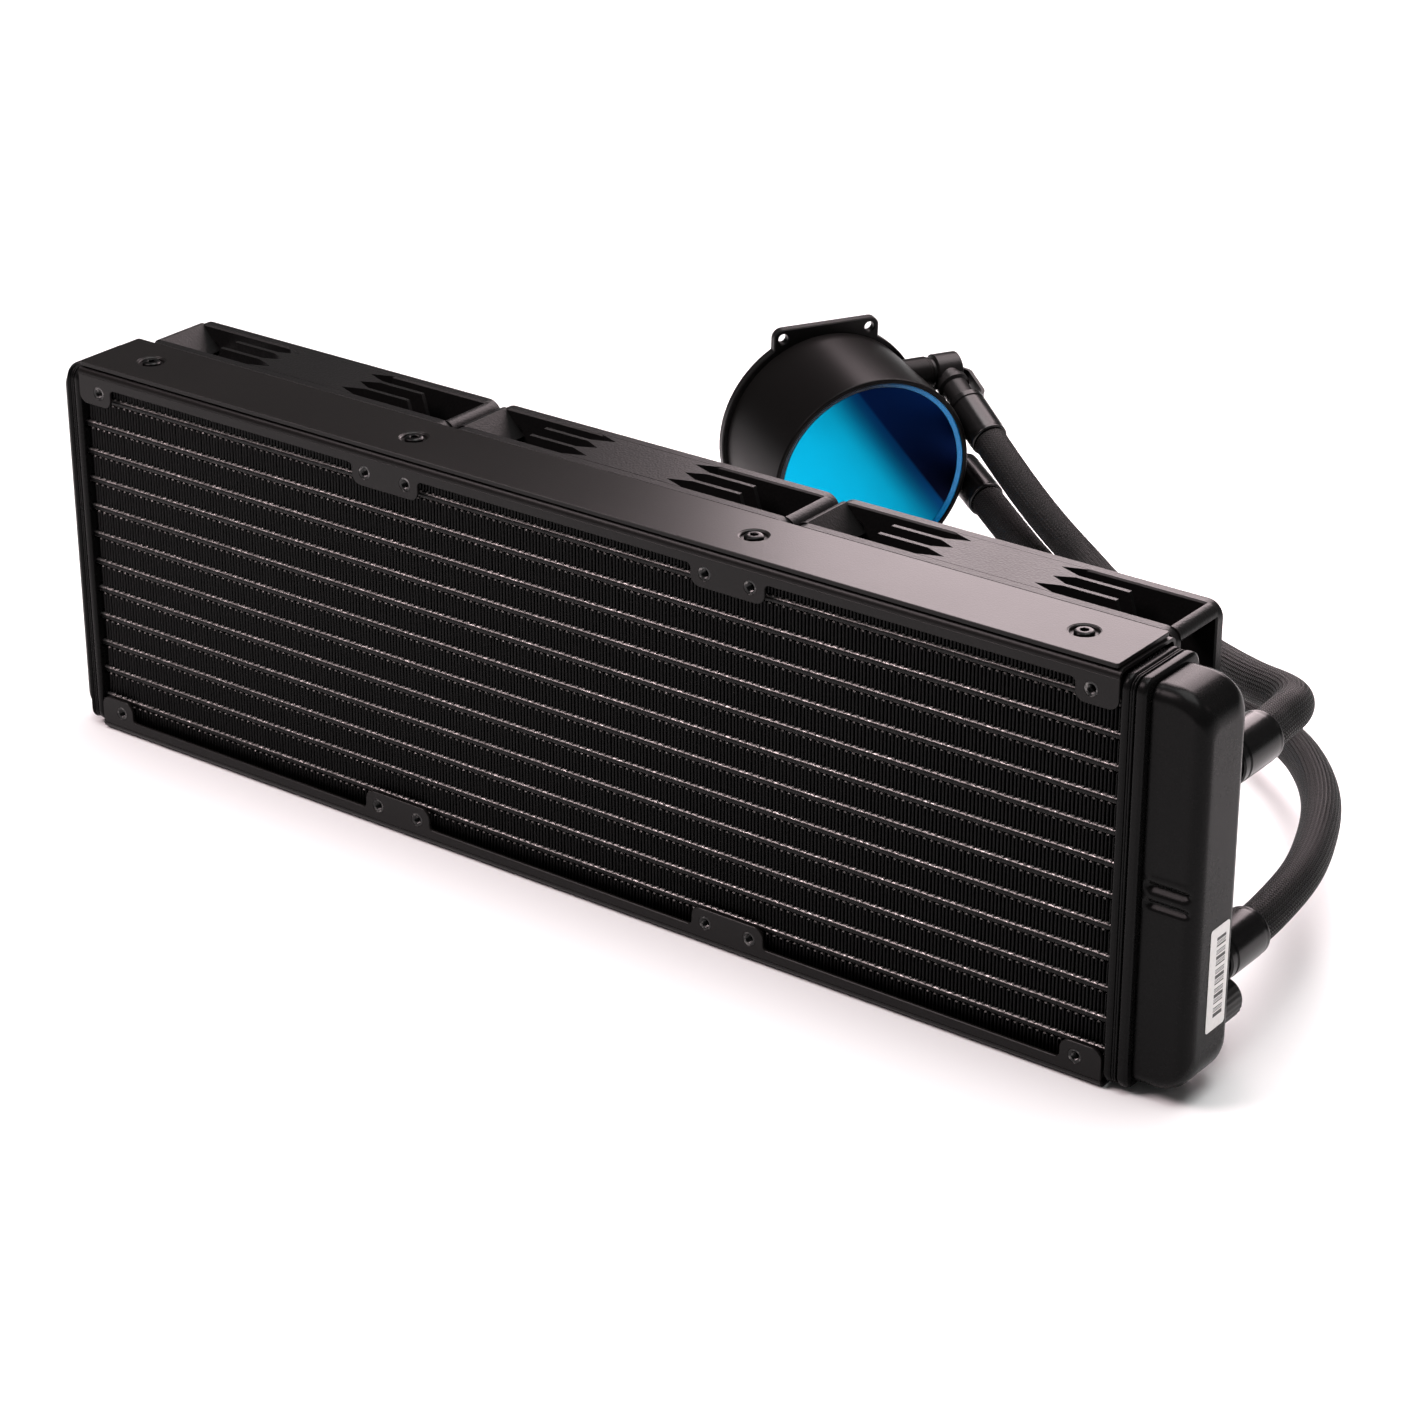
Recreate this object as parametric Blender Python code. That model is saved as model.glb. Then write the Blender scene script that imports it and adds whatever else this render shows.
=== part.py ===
"""Three-fan liquid cooling radiator with its pump head, hoses and fans.

The radiator stands on its long edge with the three fans behind it, and the
pump head lies on its side further back, joined by two braided hoses.
X runs along the radiator, Y from its front towards the fans, Z upwards.
The origin lies on the floor under the middle of the radiator.
"""

import math

import bmesh
import bpy
import numpy as np
from mathutils import Matrix, Vector

MM = 0.001
GAP = 0.3

# Fans: the standard 120 mm pattern sets the length of everything else.
FAN_COUNT = 3
FAN_PITCH = 120.0
FAN_HALF = 59.6
FAN_DEPTH = 24.8
FAN_FRONT = 14.4
HOLE_HALF = 52.5
RIM_DEPTH = 4.0
DUCT_RADIUS = 57.2
DUCT_WALL = 1.6
HUB_RADIUS = 20.0
BLADE_COUNT = 9
BLADE_TIP = 55.8

# Radiator core and its frame.
MIDDLE = FAN_HALF
CHANNEL_HALF = 180.5
CHANNEL_HEIGHT = 59.6
CHANNEL_DEPTH = 13.5
SHEET = 1.0
FLANGE_EDGE = 54.4
TAB_EDGE = 48.3
ROW_COUNT = 12
ROW_PITCH = 9.0
TUBE_THICK = 2.0
TUBE_DEPTH = 22.0
TUBE_WALL = 0.35
TUBE_HALF = 184.4
FIN_THICK = 1.2
FIN_FOLD = 45.0
FIN_FOLDS = 8
HEADER_IN = 180.8
HEADER_OUT = 184.6
RIM_HALF = 58.3
RIM_SIDE = 13.2
COVER_TOP = 61.2
COVER_THICK = 1.3
COVER_SCREWS = (-162.3, -59.5, 59.5, 162.3)
SCREW_Y = -0.8

# End tanks.
TANK_RIM_OUT = 188.0
RIGHT_END = 204.5
LEFT_END = 190.5
TANK_HALF = 56.8
TANK_FRONT = -11.0
TANK_REAR = 10.5
TANK_WALL = 1.5
PORT_X = 195.6
PORT_HIGH = MIDDLE + 28.7
PORT_LOW = MIDDLE - 28.0
PLUG_HEIGHT = MIDDLE - 42.5

# Hoses and their crimped ferrules.
HOSE_RADIUS = 5.75
TANK_FERRULE = 7.2
PUMP_FERRULE = 6.5
FERRULE_START = 12.9
FERRULE_LENGTH = 20.0
BARB_RADIUS = 3.9
HOSE_STEP = 12.0
HOSE_TIP = 3.0

# Pump head, in its own frame: z runs from the cold plate to the mirror.
PUMP_TILT = math.radians(4.7)
PUMP_TURN = math.radians(-29.65)
PUMP_FACE = (-58.5, 226.4, 35.7)
PUMP_LENGTH = 43.0
SHELL_RADIUS = 35.6
SHELL_INNER = 33.9
EAR_HOLE_X = 16.0
EAR_HOLE_Y = 35.7
EAR_EDGE = 39.1
ELBOW_OUT = 41.5
ELBOW_HEIGHT = 10.0
ELBOW_HIGH = 18.5
ELBOW_LOW = -8.0
TILT_HIGH = math.radians(15.0)
TILT_LOW = math.radians(8.0)
ARM_END = 17.7

BLACK = (0.012, 0.012, 0.013)
FINISHES = {
    "powder": (BLACK, 0.45, 0.0),
    "satin": ((0.018, 0.018, 0.019), 0.35, 0.0),
    "fin": ((0.02, 0.02, 0.022), 0.5, 0.3),
    "plastic": ((0.014, 0.014, 0.015), 0.6, 0.0),
    "hose": ((0.01, 0.01, 0.011), 0.55, 0.0),
    "steel": ((0.05, 0.05, 0.055), 0.3, 1.0),
    "mirror": ((0.0, 0.35, 0.6), 0.05, 1.0),
    "copper": ((0.7, 0.35, 0.2), 0.3, 1.0),
    "rubber": ((0.02, 0.02, 0.02), 0.8, 0.0),
    "magnet": ((0.08, 0.08, 0.085), 0.5, 0.6),
}


def clear_scene():
    """Remove every object, so that the model starts from nothing."""
    for obj in list(bpy.data.objects):
        bpy.data.objects.remove(obj, do_unlink=True)


def finish(obj, kind):
    """Give an object its own material of a named kind."""
    colour, roughness, metallic = FINISHES[kind]
    made = bpy.data.materials.new(obj.name)
    made.use_nodes = True
    shader = made.node_tree.nodes["Principled BSDF"]
    shader.inputs["Base Color"].default_value = (*colour, 1.0)
    shader.inputs["Roughness"].default_value = roughness
    shader.inputs["Metallic"].default_value = metallic
    obj.data.materials.clear()
    obj.data.materials.append(made)
    return obj


def mesh_object(name, corners, faces):
    """Make a closed mesh from corners in millimetres, faces pointing out."""
    mesh = bpy.data.meshes.new(name)
    mesh.from_pydata([Vector(c) * MM for c in corners], [], faces)
    shaped = bmesh.new()
    shaped.from_mesh(mesh)
    bmesh.ops.recalc_face_normals(shaped, faces=shaped.faces)
    shaped.to_mesh(mesh)
    shaped.free()
    obj = bpy.data.objects.new(name, mesh)
    bpy.context.collection.objects.link(obj)
    return obj


def smooth(obj, angle=35.0):
    """Shade a round piece smooth, with creases at its real edges."""
    obj.data.shade_smooth()
    obj.data.set_sharp_from_angle(angle=math.radians(angle))
    return obj


def loft(name, rings, close=False):
    """Join rings of equal length; close makes a tube of them, else caps."""
    count = len(rings[0])
    corners = [point for ring in rings for point in ring]
    faces = []
    last = len(rings) if close else len(rings) - 1
    for row in range(last):
        low = row * count
        high = ((row + 1) % len(rings)) * count
        for i in range(count):
            j = (i + 1) % count
            faces.append((low + i, low + j, high + j, high + i))
    if not close:
        faces.append(tuple(reversed(range(count))))
        faces.append(tuple(range(last * count, (last + 1) * count)))
    return mesh_object(name, corners, faces)


AXES = {
    "X": lambda u, v, w: (w, u, v),
    "Y": lambda u, v, w: (u, w, v),
    "Z": lambda u, v, w: (u, v, w),
}


def prism(name, outline, start, end, axis="Z"):
    """Extrude a flat outline along X, Y or Z."""
    place = AXES[axis]
    return loft(name, [[place(u, v, w) for u, v in outline] for w in (start, end)])


def box(name, low, high):
    """Make a plain block between two corners."""
    outline = [(low[0], low[1]), (high[0], low[1]), (high[0], high[1]), (low[0], high[1])]
    return prism(name, outline, low[2], high[2])


def circle(radius, sides, centre=(0.0, 0.0)):
    """Give a regular outline round a centre."""
    turn = 2.0 * math.pi / sides
    return [
        (centre[0] + radius * math.cos(turn * i), centre[1] + radius * math.sin(turn * i))
        for i in range(sides)
    ]


def arc(centre, radius, start, end, steps):
    """Give points along an arc, from start to end in degrees."""
    points = []
    for i in range(steps + 1):
        angle = math.radians(start + (end - start) * i / steps)
        points.append((centre[0] + radius * math.cos(angle), centre[1] + radius * math.sin(angle)))
    return points


def rounded(half_u, half_v, radius, steps=3, centre=(0.0, 0.0)):
    """Give a rectangle's outline with rounded corners."""
    points = []
    for start, su, sv in ((0, 1, 1), (90, -1, 1), (180, -1, -1), (270, 1, -1)):
        corner = (centre[0] + su * (half_u - radius), centre[1] + sv * (half_v - radius))
        points += arc(corner, radius, start, start + 90, steps)
    return points


def turned(name, profile, sides=24):
    """Turn a closed profile of radius and height round Z into one solid."""
    corners, faces, rings = [], [], []
    for radius, height in profile:
        if radius < 1e-6:
            rings.append([len(corners)])
            corners.append((0.0, 0.0, height))
        else:
            rings.append(list(range(len(corners), len(corners) + sides)))
            corners += [(x, y, height) for x, y in circle(radius, sides)]
    for i, low in enumerate(rings):
        high = rings[(i + 1) % len(rings)]
        for k in range(sides):
            quad = [low[k % len(low)], low[(k + 1) % len(low)]]
            quad += [high[(k + 1) % len(high)], high[k % len(high)]]
            face = list(dict.fromkeys(quad))
            if len(face) > 2:
                faces.append(tuple(face))
    return mesh_object(name, corners, faces)


def combine(obj, other, operation):
    """Apply one exact Boolean and drop the second solid."""
    step = obj.modifiers.new(operation.lower(), "BOOLEAN")
    step.solver = "EXACT"
    step.operation = operation
    step.object = other
    bpy.context.view_layer.update()
    graph = bpy.context.evaluated_depsgraph_get()
    made = bpy.data.meshes.new_from_object(obj.evaluated_get(graph))
    obj.modifiers.clear()
    obj.data = made
    bpy.data.objects.remove(other, do_unlink=True)
    return obj


def cut(obj, other):
    """Take the second solid away from the first."""
    return combine(obj, other, "DIFFERENCE")


def join(obj, other):
    """Fuse the second solid into the first."""
    return combine(obj, other, "UNION")


def merged(name, pieces):
    """Hold several separate solids in one mesh, for use as a cutter."""
    corners, faces = [], []
    for piece in pieces:
        start = len(corners)
        corners += [Vector(v.co) / MM for v in piece.data.vertices]
        faces += [tuple(start + i for i in face.vertices) for face in piece.data.polygons]
        bpy.data.objects.remove(piece, do_unlink=True)
    return mesh_object(name, corners, faces)


def move(obj, matrix):
    """Move an object's mesh by a matrix whose offset is in millimetres."""
    placed = matrix.copy()
    placed.translation = matrix.translation * MM
    obj.data.transform(placed)
    return obj


def facing(direction, point=(0.0, 0.0, 0.0)):
    """Give the matrix that turns +Z to a direction and moves to a point."""
    turn = Vector(direction).normalized().to_track_quat("Z", "Y").to_matrix().to_4x4()
    return Matrix.Translation(Vector(point)) @ turn


def rod(name, start, direction, length, radius, sides=16):
    """Make a plain round bar from a point along a direction."""
    bar = prism(name, circle(radius, sides), 0.0, length)
    return move(bar, facing(direction, start))


# ---------------------------------------------------------------- radiator

def flat_tube_outline(inset=0.0):
    """Give the flat oval of a coolant tube, across depth and height."""
    radius = TUBE_THICK / 2.0 - inset
    reach = TUBE_DEPTH / 2.0 - TUBE_THICK / 2.0
    return arc((reach, 0.0), radius, -90, 90, 2) + arc((-reach, 0.0), radius, 90, 270, 2)


def fin_strip(name, bottom, top):
    """Fold a strip of fin stock between two heights."""
    start = -FIN_FOLD * FIN_FOLDS / 2.0
    crest = 1.5
    lower, upper = [], []
    for i in range(FIN_FOLDS + 1):
        x = start + i * FIN_FOLD
        high = i % 2 == 1
        outer = top if high else bottom
        inner = outer - FIN_THICK if high else outer + FIN_THICK
        under, over = (inner, outer) if high else (outer, inner)
        lean = FIN_THICK * 0.5
        low_half = crest - lean if high else crest + lean
        high_half = crest + lean if high else crest - lean
        if i > 0:
            lower.append((x - low_half, under))
            upper.append((x - high_half, over))
        if i < FIN_FOLDS:
            lower.append((x + low_half, under))
            upper.append((x + high_half, over))
    outline = lower + upper[::-1]
    return prism(name, outline, -TUBE_DEPTH / 2.0 + 0.4, TUBE_DEPTH / 2.0 - 0.4, "Y")


def core_row(index):
    """Make one flat tube with its fin strip brazed on top."""
    height = MIDDLE + (index - (ROW_COUNT + 1) / 2.0) * ROW_PITCH
    name = f"core_row_{index:02d}"
    shift = Matrix.Translation((0.0, 0.0, height))
    tube = move(prism(name, flat_tube_outline(), -TUBE_HALF, TUBE_HALF, "X"), shift)
    hollow = move(prism("way", flat_tube_outline(TUBE_WALL), -200.0, 200.0, "X"), shift)
    tube = cut(tube, hollow)
    low = height + TUBE_THICK / 2.0
    strip = fin_strip("strip", low - 0.15, low + ROW_PITCH - TUBE_THICK - GAP)
    return finish(join(tube, strip), "fin")


def header_plate(name, side):
    """Make the slotted plate that the tube ends are brazed into."""
    ends = sorted((side * HEADER_IN, side * HEADER_OUT))
    plate = prism(name, rounded(RIM_SIDE, RIM_HALF, 4.0, 2, (0.0, MIDDLE)), ends[0], ends[1], "X")
    slots = []
    for index in range(ROW_COUNT):
        height = MIDDLE + (index + 1 - (ROW_COUNT + 1) / 2.0) * ROW_PITCH
        slot = prism("slot", flat_tube_outline(-GAP), ends[0] - 1.0, ends[1] + 1.0, "X")
        slots.append(move(slot, Matrix.Translation((0.0, 0.0, height))))
    return finish(cut(plate, merged("slots", slots)), "satin")


def tank_rings(side, end, corner, edge, wall):
    """Give the outer and inner rings of a pressed end tank, rim to end."""
    depth = (TANK_REAR - TANK_FRONT) / 2.0
    centre = ((TANK_REAR + TANK_FRONT) / 2.0, MIDDLE)
    stations = [TANK_RIM_OUT + 0.2, end - corner] if end - corner > TANK_RIM_OUT + 1.0 else [end - corner]
    steps = 4
    for i in range(1, steps + 1):
        stations.append(end - corner + corner * math.sin(math.pi / 2.0 * i / steps))
    rings = []
    for x in stations:
        over = max(0.0, x - (end - corner))
        drop = corner - math.sqrt(max(0.0, corner ** 2 - over ** 2))
        past = max(0.0, x - (end - edge))
        tuck = edge - math.sqrt(max(0.0, edge ** 2 - past ** 2))
        outline = rounded(depth - tuck - wall, TANK_HALF - drop * 0.9 - wall, 3.5, 2, centre)
        rings.append((side * (x - wall), outline))
    return rings


def end_tank(name, side, end, corner, edge):
    """Make one hollow end tank, open towards its header plate."""
    outer = tank_rings(side, end, corner, edge, 0.0)
    inner = tank_rings(side, end, corner, edge, TANK_WALL)
    mouth = side * (HEADER_OUT + GAP)
    rim = rounded(RIM_SIDE - 0.3, RIM_HALF - 0.3, 4.0, 2, (0.0, MIDDLE))
    rings = [(mouth, rim)]
    if side > 0:
        rings.append((side * TANK_RIM_OUT, rim))
    rings += outer
    solid = loft(name, [[(x, u, v) for u, v in ring] for x, ring in rings])
    hollow_rings = [(mouth - side, inner[0][1])] + inner
    hollow = loft("hollow", [[(x, u, v) for u, v in ring] for x, ring in hollow_rings])
    tank = cut(solid, hollow)
    if side > 0:
        holes = [
            rod("hole", (PORT_X, 0.0, PORT_HIGH), (0, 1, 0), 20.0, 5.2),
            rod("hole", (PORT_X, 0.0, PORT_LOW), (0, 1, 0), 20.0, 5.2),
            rod("hole", (PORT_X, 0.0, PLUG_HEIGHT), (0, 1, 0), 20.0, 4.2),
        ]
        tank = cut(tank, merged("holes", holes))
    return finish(smooth(tank), "satin")


def window_outline(left, right):
    """Give the open stretch between two tabs, flared round the tab corners."""
    tab, base = 3.0, 1.5
    low, high = TAB_EDGE, FLANGE_EDGE
    points = [(left - tab, low - 4.0)]
    points += arc((left - tab, low + tab), tab, -90, 0, 2)
    points += arc((left + base, high - base), base, 180, 90, 1)
    points += arc((right - base, high - base), base, 90, 0, 1)
    points += arc((right + tab, low + tab), tab, 180, 270, 2)
    points.append((right + tab, low - 4.0))
    return points


def side_channel(name, side):
    """Bend the sheet channel that closes the core's long side."""
    bend = 1.4
    outer = CHANNEL_DEPTH
    profile = [(-outer, TAB_EDGE)]
    profile += arc((-outer + bend, CHANNEL_HEIGHT - bend), bend, 180, 90, 1)
    profile += arc((outer - bend, CHANNEL_HEIGHT - bend), bend, 90, 0, 1)
    profile += [(outer, TAB_EDGE), (outer - SHEET, TAB_EDGE), (outer - SHEET, CHANNEL_HEIGHT - SHEET)]
    profile += [(-outer + SHEET, CHANNEL_HEIGHT - SHEET), (-outer + SHEET, TAB_EDGE)]
    channel = prism(name, profile, -CHANNEL_HALF, CHANNEL_HALF, "X")
    margin = 4.7
    pair = (HOLE_HALF, FAN_PITCH - HOLE_HALF)
    far = FAN_PITCH + HOLE_HALF
    spans = [
        (-far + margin, -pair[1] - margin),
        (-pair[0] + margin, pair[0] - margin),
        (pair[1] + margin, far - margin),
    ]
    windows = [prism("window", window_outline(a, b), -20.0, 20.0, "Y") for a, b in spans]
    channel = cut(channel, merged("windows", windows))
    holes = []
    for x in (-far, -pair[1], -pair[0], pair[0], pair[1], far):
        holes.append(rod("hole", (x, -20.0, HOLE_HALF), (0, 1, 0), 40.0, 1.65, 6))
    channel = cut(channel, merged("holes", holes))
    if side > 0:
        wells = [rod("well", (x, SCREW_Y, 50.0), (0, 0, 1), 20.0, 1.7, 6) for x in COVER_SCREWS]
        channel = cut(channel, merged("wells", wells))
        placed = Matrix.Translation((0.0, 0.0, MIDDLE))
    else:
        placed = Matrix.Translation((0.0, 0.0, MIDDLE)) @ Matrix.Rotation(math.pi, 4, "Y")
    return finish(move(channel, placed), "powder")


def cover_plate(name):
    """Make the flat plate over the upper channel, with dished screw seats."""
    low = MIDDLE + COVER_TOP - COVER_THICK
    plate = box(name, (-179.8, -13.3, low), (179.8, 11.5, MIDDLE + COVER_TOP))
    dishes = []
    for x in COVER_SCREWS:
        dish = turned("dish", [(0.0, -5.0), (1.7, -5.0), (1.7, 0.5), (4.2, 0.5), (4.6, 3.0), (0.0, 3.0)], 12)
        dishes.append(move(dish, Matrix.Translation((x, SCREW_Y, low))))
    return finish(cut(plate, merged("dishes", dishes)), "powder")


def cover_screw(index):
    """Make one button-head screw with a hex socket."""
    seat = MIDDLE + COVER_TOP - COVER_THICK + 0.5 + GAP
    head = [(0.0, -2.6), (1.4, -2.6), (1.4, 0.0), (2.8, 0.0), (2.8, 0.3), (2.1, 0.8), (0.0, 0.8)]
    screw = turned(f"cover_screw_{index + 1}", head, 12)
    screw = cut(screw, prism("socket", circle(1.0, 6), 0.1, 3.0))
    move(screw, Matrix.Translation((COVER_SCREWS[index], SCREW_Y, seat)))
    return finish(smooth(screw), "steel")


def tank_baffle():
    """Make the wall that parts the right tank's inlet from its outlet."""
    inset = TANK_WALL + GAP
    low = (HEADER_OUT + GAP, TANK_FRONT + inset, MIDDLE - 1.1)
    high = (RIGHT_END - inset, TANK_REAR - inset, MIDDLE + 0.1)
    outline = [
        (low[0], low[1]), (high[0] - 3.5, low[1]), (high[0], low[1] + 3.5),
        (high[0], high[1] - 3.5), (high[0] - 3.5, high[1]), (low[0], high[1]),
    ]
    return finish(prism("tank_baffle", outline, low[2], high[2]), "fin")


def hose_port(name, height):
    """Make a barbed port that passes through the right tank's rear wall."""
    start = TANK_REAR + GAP
    profile = [
        (2.8, -3.5), (4.9, -3.5), (4.9, 0.0), (6.2, 0.0), (6.2, 1.8),
        (BARB_RADIUS, 1.8), (BARB_RADIUS, 12.0), (2.8, 12.0),
    ]
    port = turned(name, profile, 16)
    return finish(smooth(move(port, facing((0, 1, 0), (PORT_X, start, height)))), "satin")


def fill_plug():
    """Make the round plug of the filling port."""
    profile = [
        (0.0, -3.0), (3.9, -3.0), (3.9, 0.0), (6.2, 0.0), (6.2, 10.8), (5.6, 11.4),
        (3.0, 11.4), (3.0, 9.9), (0.0, 9.9),
    ]
    plug = turned("fill_plug", profile, 16)
    return finish(smooth(move(plug, facing((0, 1, 0), (PORT_X, TANK_REAR + GAP, PLUG_HEIGHT)))), "plastic")


# -------------------------------------------------------------------- fans

def fan_place(index):
    """Give the matrix from a fan's own frame, z to the rear, to the model."""
    x = (index - (FAN_COUNT - 1) / 2.0) * FAN_PITCH
    return facing((0, 1, 0), (x, FAN_FRONT, MIDDLE))


def corner_pocket():
    """Give the outline of one corner's open pocket, outside the duct."""
    near, far, out = 15.0, 55.6, 62.0
    radius = DUCT_RADIUS + DUCT_WALL
    start = math.degrees(math.asin(near / radius))
    inner = arc((0.0, 0.0), radius, start, 90.0 - start, 4)
    return [(out, near)] + inner + [(near, out), (far, out), (far, far), (out, far)]


def fan_frame(index):
    """Make one square fan frame with open corners, hub and struts."""
    name = f"fan_frame_{index + 1}"
    frame = prism(name, rounded(FAN_HALF, FAN_HALF, 4.5, 2), 0.0, FAN_DEPTH)
    frame = cut(frame, prism("duct", circle(DUCT_RADIUS, 28), -1.0, FAN_DEPTH + 1.0))
    pockets = []
    for quarter in range(4):
        pocket = prism("pocket", corner_pocket(), RIM_DEPTH, FAN_DEPTH - RIM_DEPTH)
        pockets.append(move(pocket, Matrix.Rotation(math.pi / 2.0 * quarter, 4, "Z")))
    frame = cut(frame, merged("pockets", pockets))
    holes = []
    for sx in (-1, 1):
        for sy in (-1, 1):
            outline = circle(2.2, 8, (sx * HOLE_HALF, sy * HOLE_HALF))
            holes.append(prism("hole", outline, -1.0, FAN_DEPTH + 1.0))
    frame = cut(frame, merged("holes", holes))
    seat = [
        (1.8, 0.6), (HUB_RADIUS + 0.5, 0.6), (HUB_RADIUS + 0.5, 3.4),
        (3.4, 3.4), (3.4, 16.0), (1.8, 16.0),
    ]
    hub = turned("hub", seat, 16)
    for arm in range(4):
        strut = box("strut", (HUB_RADIUS - 1.0, -1.6, 0.6), (DUCT_RADIUS + 1.0, 1.6, 3.4))
        hub = join(hub, move(strut, Matrix.Rotation(math.radians(45 + 90 * arm), 4, "Z")))
    return finish(move(join(frame, hub), fan_place(index)), "plastic")


def blade(turn):
    """Make one swept, twisted fan blade in the fan's own frame."""
    corners, faces = [], []
    spans, chords = 2, 3
    thick = 0.8
    for i in range(spans + 1):
        part = i / spans
        radius = HUB_RADIUS - 0.8 + (BLADE_TIP - HUB_RADIUS + 0.8) * part
        pitch = math.radians(46.0 - 18.0 * part)
        chord = 17.0 + 12.0 * part
        sweep = math.radians(-14.0) * part
        for k in range(chords + 1):
            along = (k / chords - 0.5) * chord
            camber = 1.6 * (1.0 - (2.0 * k / chords - 1.0) ** 2)
            angle = turn + sweep + (along * math.cos(pitch)) / radius
            height = 13.4 + along * math.sin(pitch) + camber
            corners.append((radius * math.cos(angle), radius * math.sin(angle), height))
    row = chords + 1
    total = len(corners)
    corners += [(x, y, z + thick) for x, y, z in corners]
    for i in range(spans):
        for k in range(chords):
            a = i * row + k
            faces.append((a, a + 1, a + row + 1, a + row))
            faces.append((total + a, total + a + row, total + a + row + 1, total + a + 1))
    rim = [i * row for i in range(spans + 1)]
    rim += [spans * row + k for k in range(1, row)]
    rim += [i * row + chords for i in range(spans - 1, -1, -1)]
    rim += [k for k in range(chords - 1, 0, -1)]
    for a, b in zip(rim, rim[1:] + rim[:1]):
        faces.append((a, b, total + b, total + a))
    return mesh_object("blade", corners, faces)


def fan_rotor(index):
    """Make one fan rotor: a motor cup with its shaft and blades."""
    profile = [
        (0.0, 22.5), (HUB_RADIUS - 1.5, 22.5), (HUB_RADIUS, 21.0), (HUB_RADIUS, 4.2),
        (HUB_RADIUS - 1.5, 4.2), (HUB_RADIUS - 1.5, 20.7), (1.5, 20.7), (1.5, 8.0), (0.0, 8.0),
    ]
    rotor = turned(f"fan_rotor_{index + 1}", profile, 20)
    blades = [blade(2.0 * math.pi * k / BLADE_COUNT) for k in range(BLADE_COUNT)]
    rotor = join(rotor, merged("blades", blades))
    place = fan_place(index)
    rotor.data.transform(place.to_3x3().to_4x4())
    rotor.location = place.translation * MM
    return finish(smooth(rotor), "plastic")


def pole_outline(poles, inner, outer, head, stem):
    """Give a motor stator's outline: round a core, poles with wide heads."""
    points = []
    for i in range(poles):
        turn = 2.0 * math.pi * i / poles
        for radius, half in ((inner, stem), (head, stem), (head, stem * 2.2), (outer, stem * 2.2)):
            angle = turn - math.asin(half / radius)
            points.append((radius * math.cos(angle), radius * math.sin(angle)))
        for radius, half in ((outer, stem * 2.2), (head, stem * 2.2), (head, stem), (inner, stem)):
            angle = turn + math.asin(half / radius)
            points.append((radius * math.cos(angle), radius * math.sin(angle)))
    return points


def fan_stator(index):
    """Make one fan motor's wound core, fixed round the bearing tube."""
    outline = pole_outline(4, 8.0, 15.0, 12.5, 2.2)
    core = prism(f"fan_stator_{index + 1}", outline, 5.0, 14.0)
    core = cut(core, prism("bore", circle(3.7, 10), 4.0, 15.0))
    return finish(move(core, fan_place(index)), "magnet")


# -------------------------------------------------------------------- pump

def pump_place():
    """Give the matrix from the pump's own frame to the model."""
    level = math.cos(PUMP_TILT)
    out = Vector((level * math.cos(PUMP_TURN), level * math.sin(PUMP_TURN), -math.sin(PUMP_TILT)))
    side = Vector((-math.sin(PUMP_TURN), math.cos(PUMP_TURN), 0.0))
    up = out.cross(side)
    base = Vector(PUMP_FACE) - out * PUMP_LENGTH
    turn = Matrix((side, up, out)).transposed().to_4x4()
    return Matrix.Translation(base) @ turn


def ear_outline():
    """Give the pump bracket's outline: a disc with a lug above and below."""
    radius, corner, half = 37.2, 3.3, EAR_HOLE_X + 3.4
    meet = math.degrees(math.acos(half / radius))
    points = []
    for turn in (0, 180):
        side = []
        side += arc((0.0, 0.0), radius, -meet, meet, 7)
        side += arc((half - corner, EAR_EDGE - corner), corner, 0, 90, 2)
        side += arc((-half + corner, EAR_EDGE - corner), corner, 90, 180, 2)
        sign = 1 if turn == 0 else -1
        points += [(sign * x, sign * y) for x, y in side]
    return points


def pump_bracket():
    """Make the mounting bracket with its two pairs of screw holes."""
    plate = prism("pump_bracket", ear_outline(), 0.0, 3.0)
    bores = [prism("hole", circle(28.8, 28), -1.0, 4.0)]
    for sx in (-1, 1):
        for sy in (-1, 1):
            bores.append(prism("hole", circle(1.75, 8, (sx * EAR_HOLE_X, sy * EAR_HOLE_Y)), -1.0, 4.0))
    return finish(move(cut(plate, merged("bores", bores)), pump_place()), "plastic")


def pump_shell():
    """Make the round housing with its two hose bosses."""
    top = PUMP_LENGTH
    shell = turned("pump_shell", [
        (0.0, 3.3), (SHELL_RADIUS, 3.3), (SHELL_RADIUS, top - 0.6),
        (SHELL_RADIUS - 0.6, top), (0.0, top),
    ], 32)
    for height in (ELBOW_HIGH, ELBOW_LOW):
        shell = join(shell, rod("boss", (20.0, height, ELBOW_HEIGHT), (1, 0, 0), 15.6, 5.5, 12))
    shell = cut(shell, turned("bore", [
        (0.0, 2.0), (SHELL_INNER, 2.0), (SHELL_INNER, 37.5), (31.0, 37.5),
        (31.0, 39.2), (SHELL_INNER, 39.2), (SHELL_INNER, top + 1.0), (0.0, top + 1.0),
    ], 32))
    ways = [rod("way", (20.0, h, ELBOW_HEIGHT), (1, 0, 0), 20.0, 3.2, 10) for h in (ELBOW_HIGH, ELBOW_LOW)]
    shell = cut(shell, merged("ways", ways))
    return finish(smooth(move(shell, pump_place())), "satin")


def pump_turned(name, profile, kind, sides=48):
    """Turn one of the pump's round pieces and put it in place."""
    return finish(smooth(move(turned(name, profile, sides), pump_place())), kind)


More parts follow.
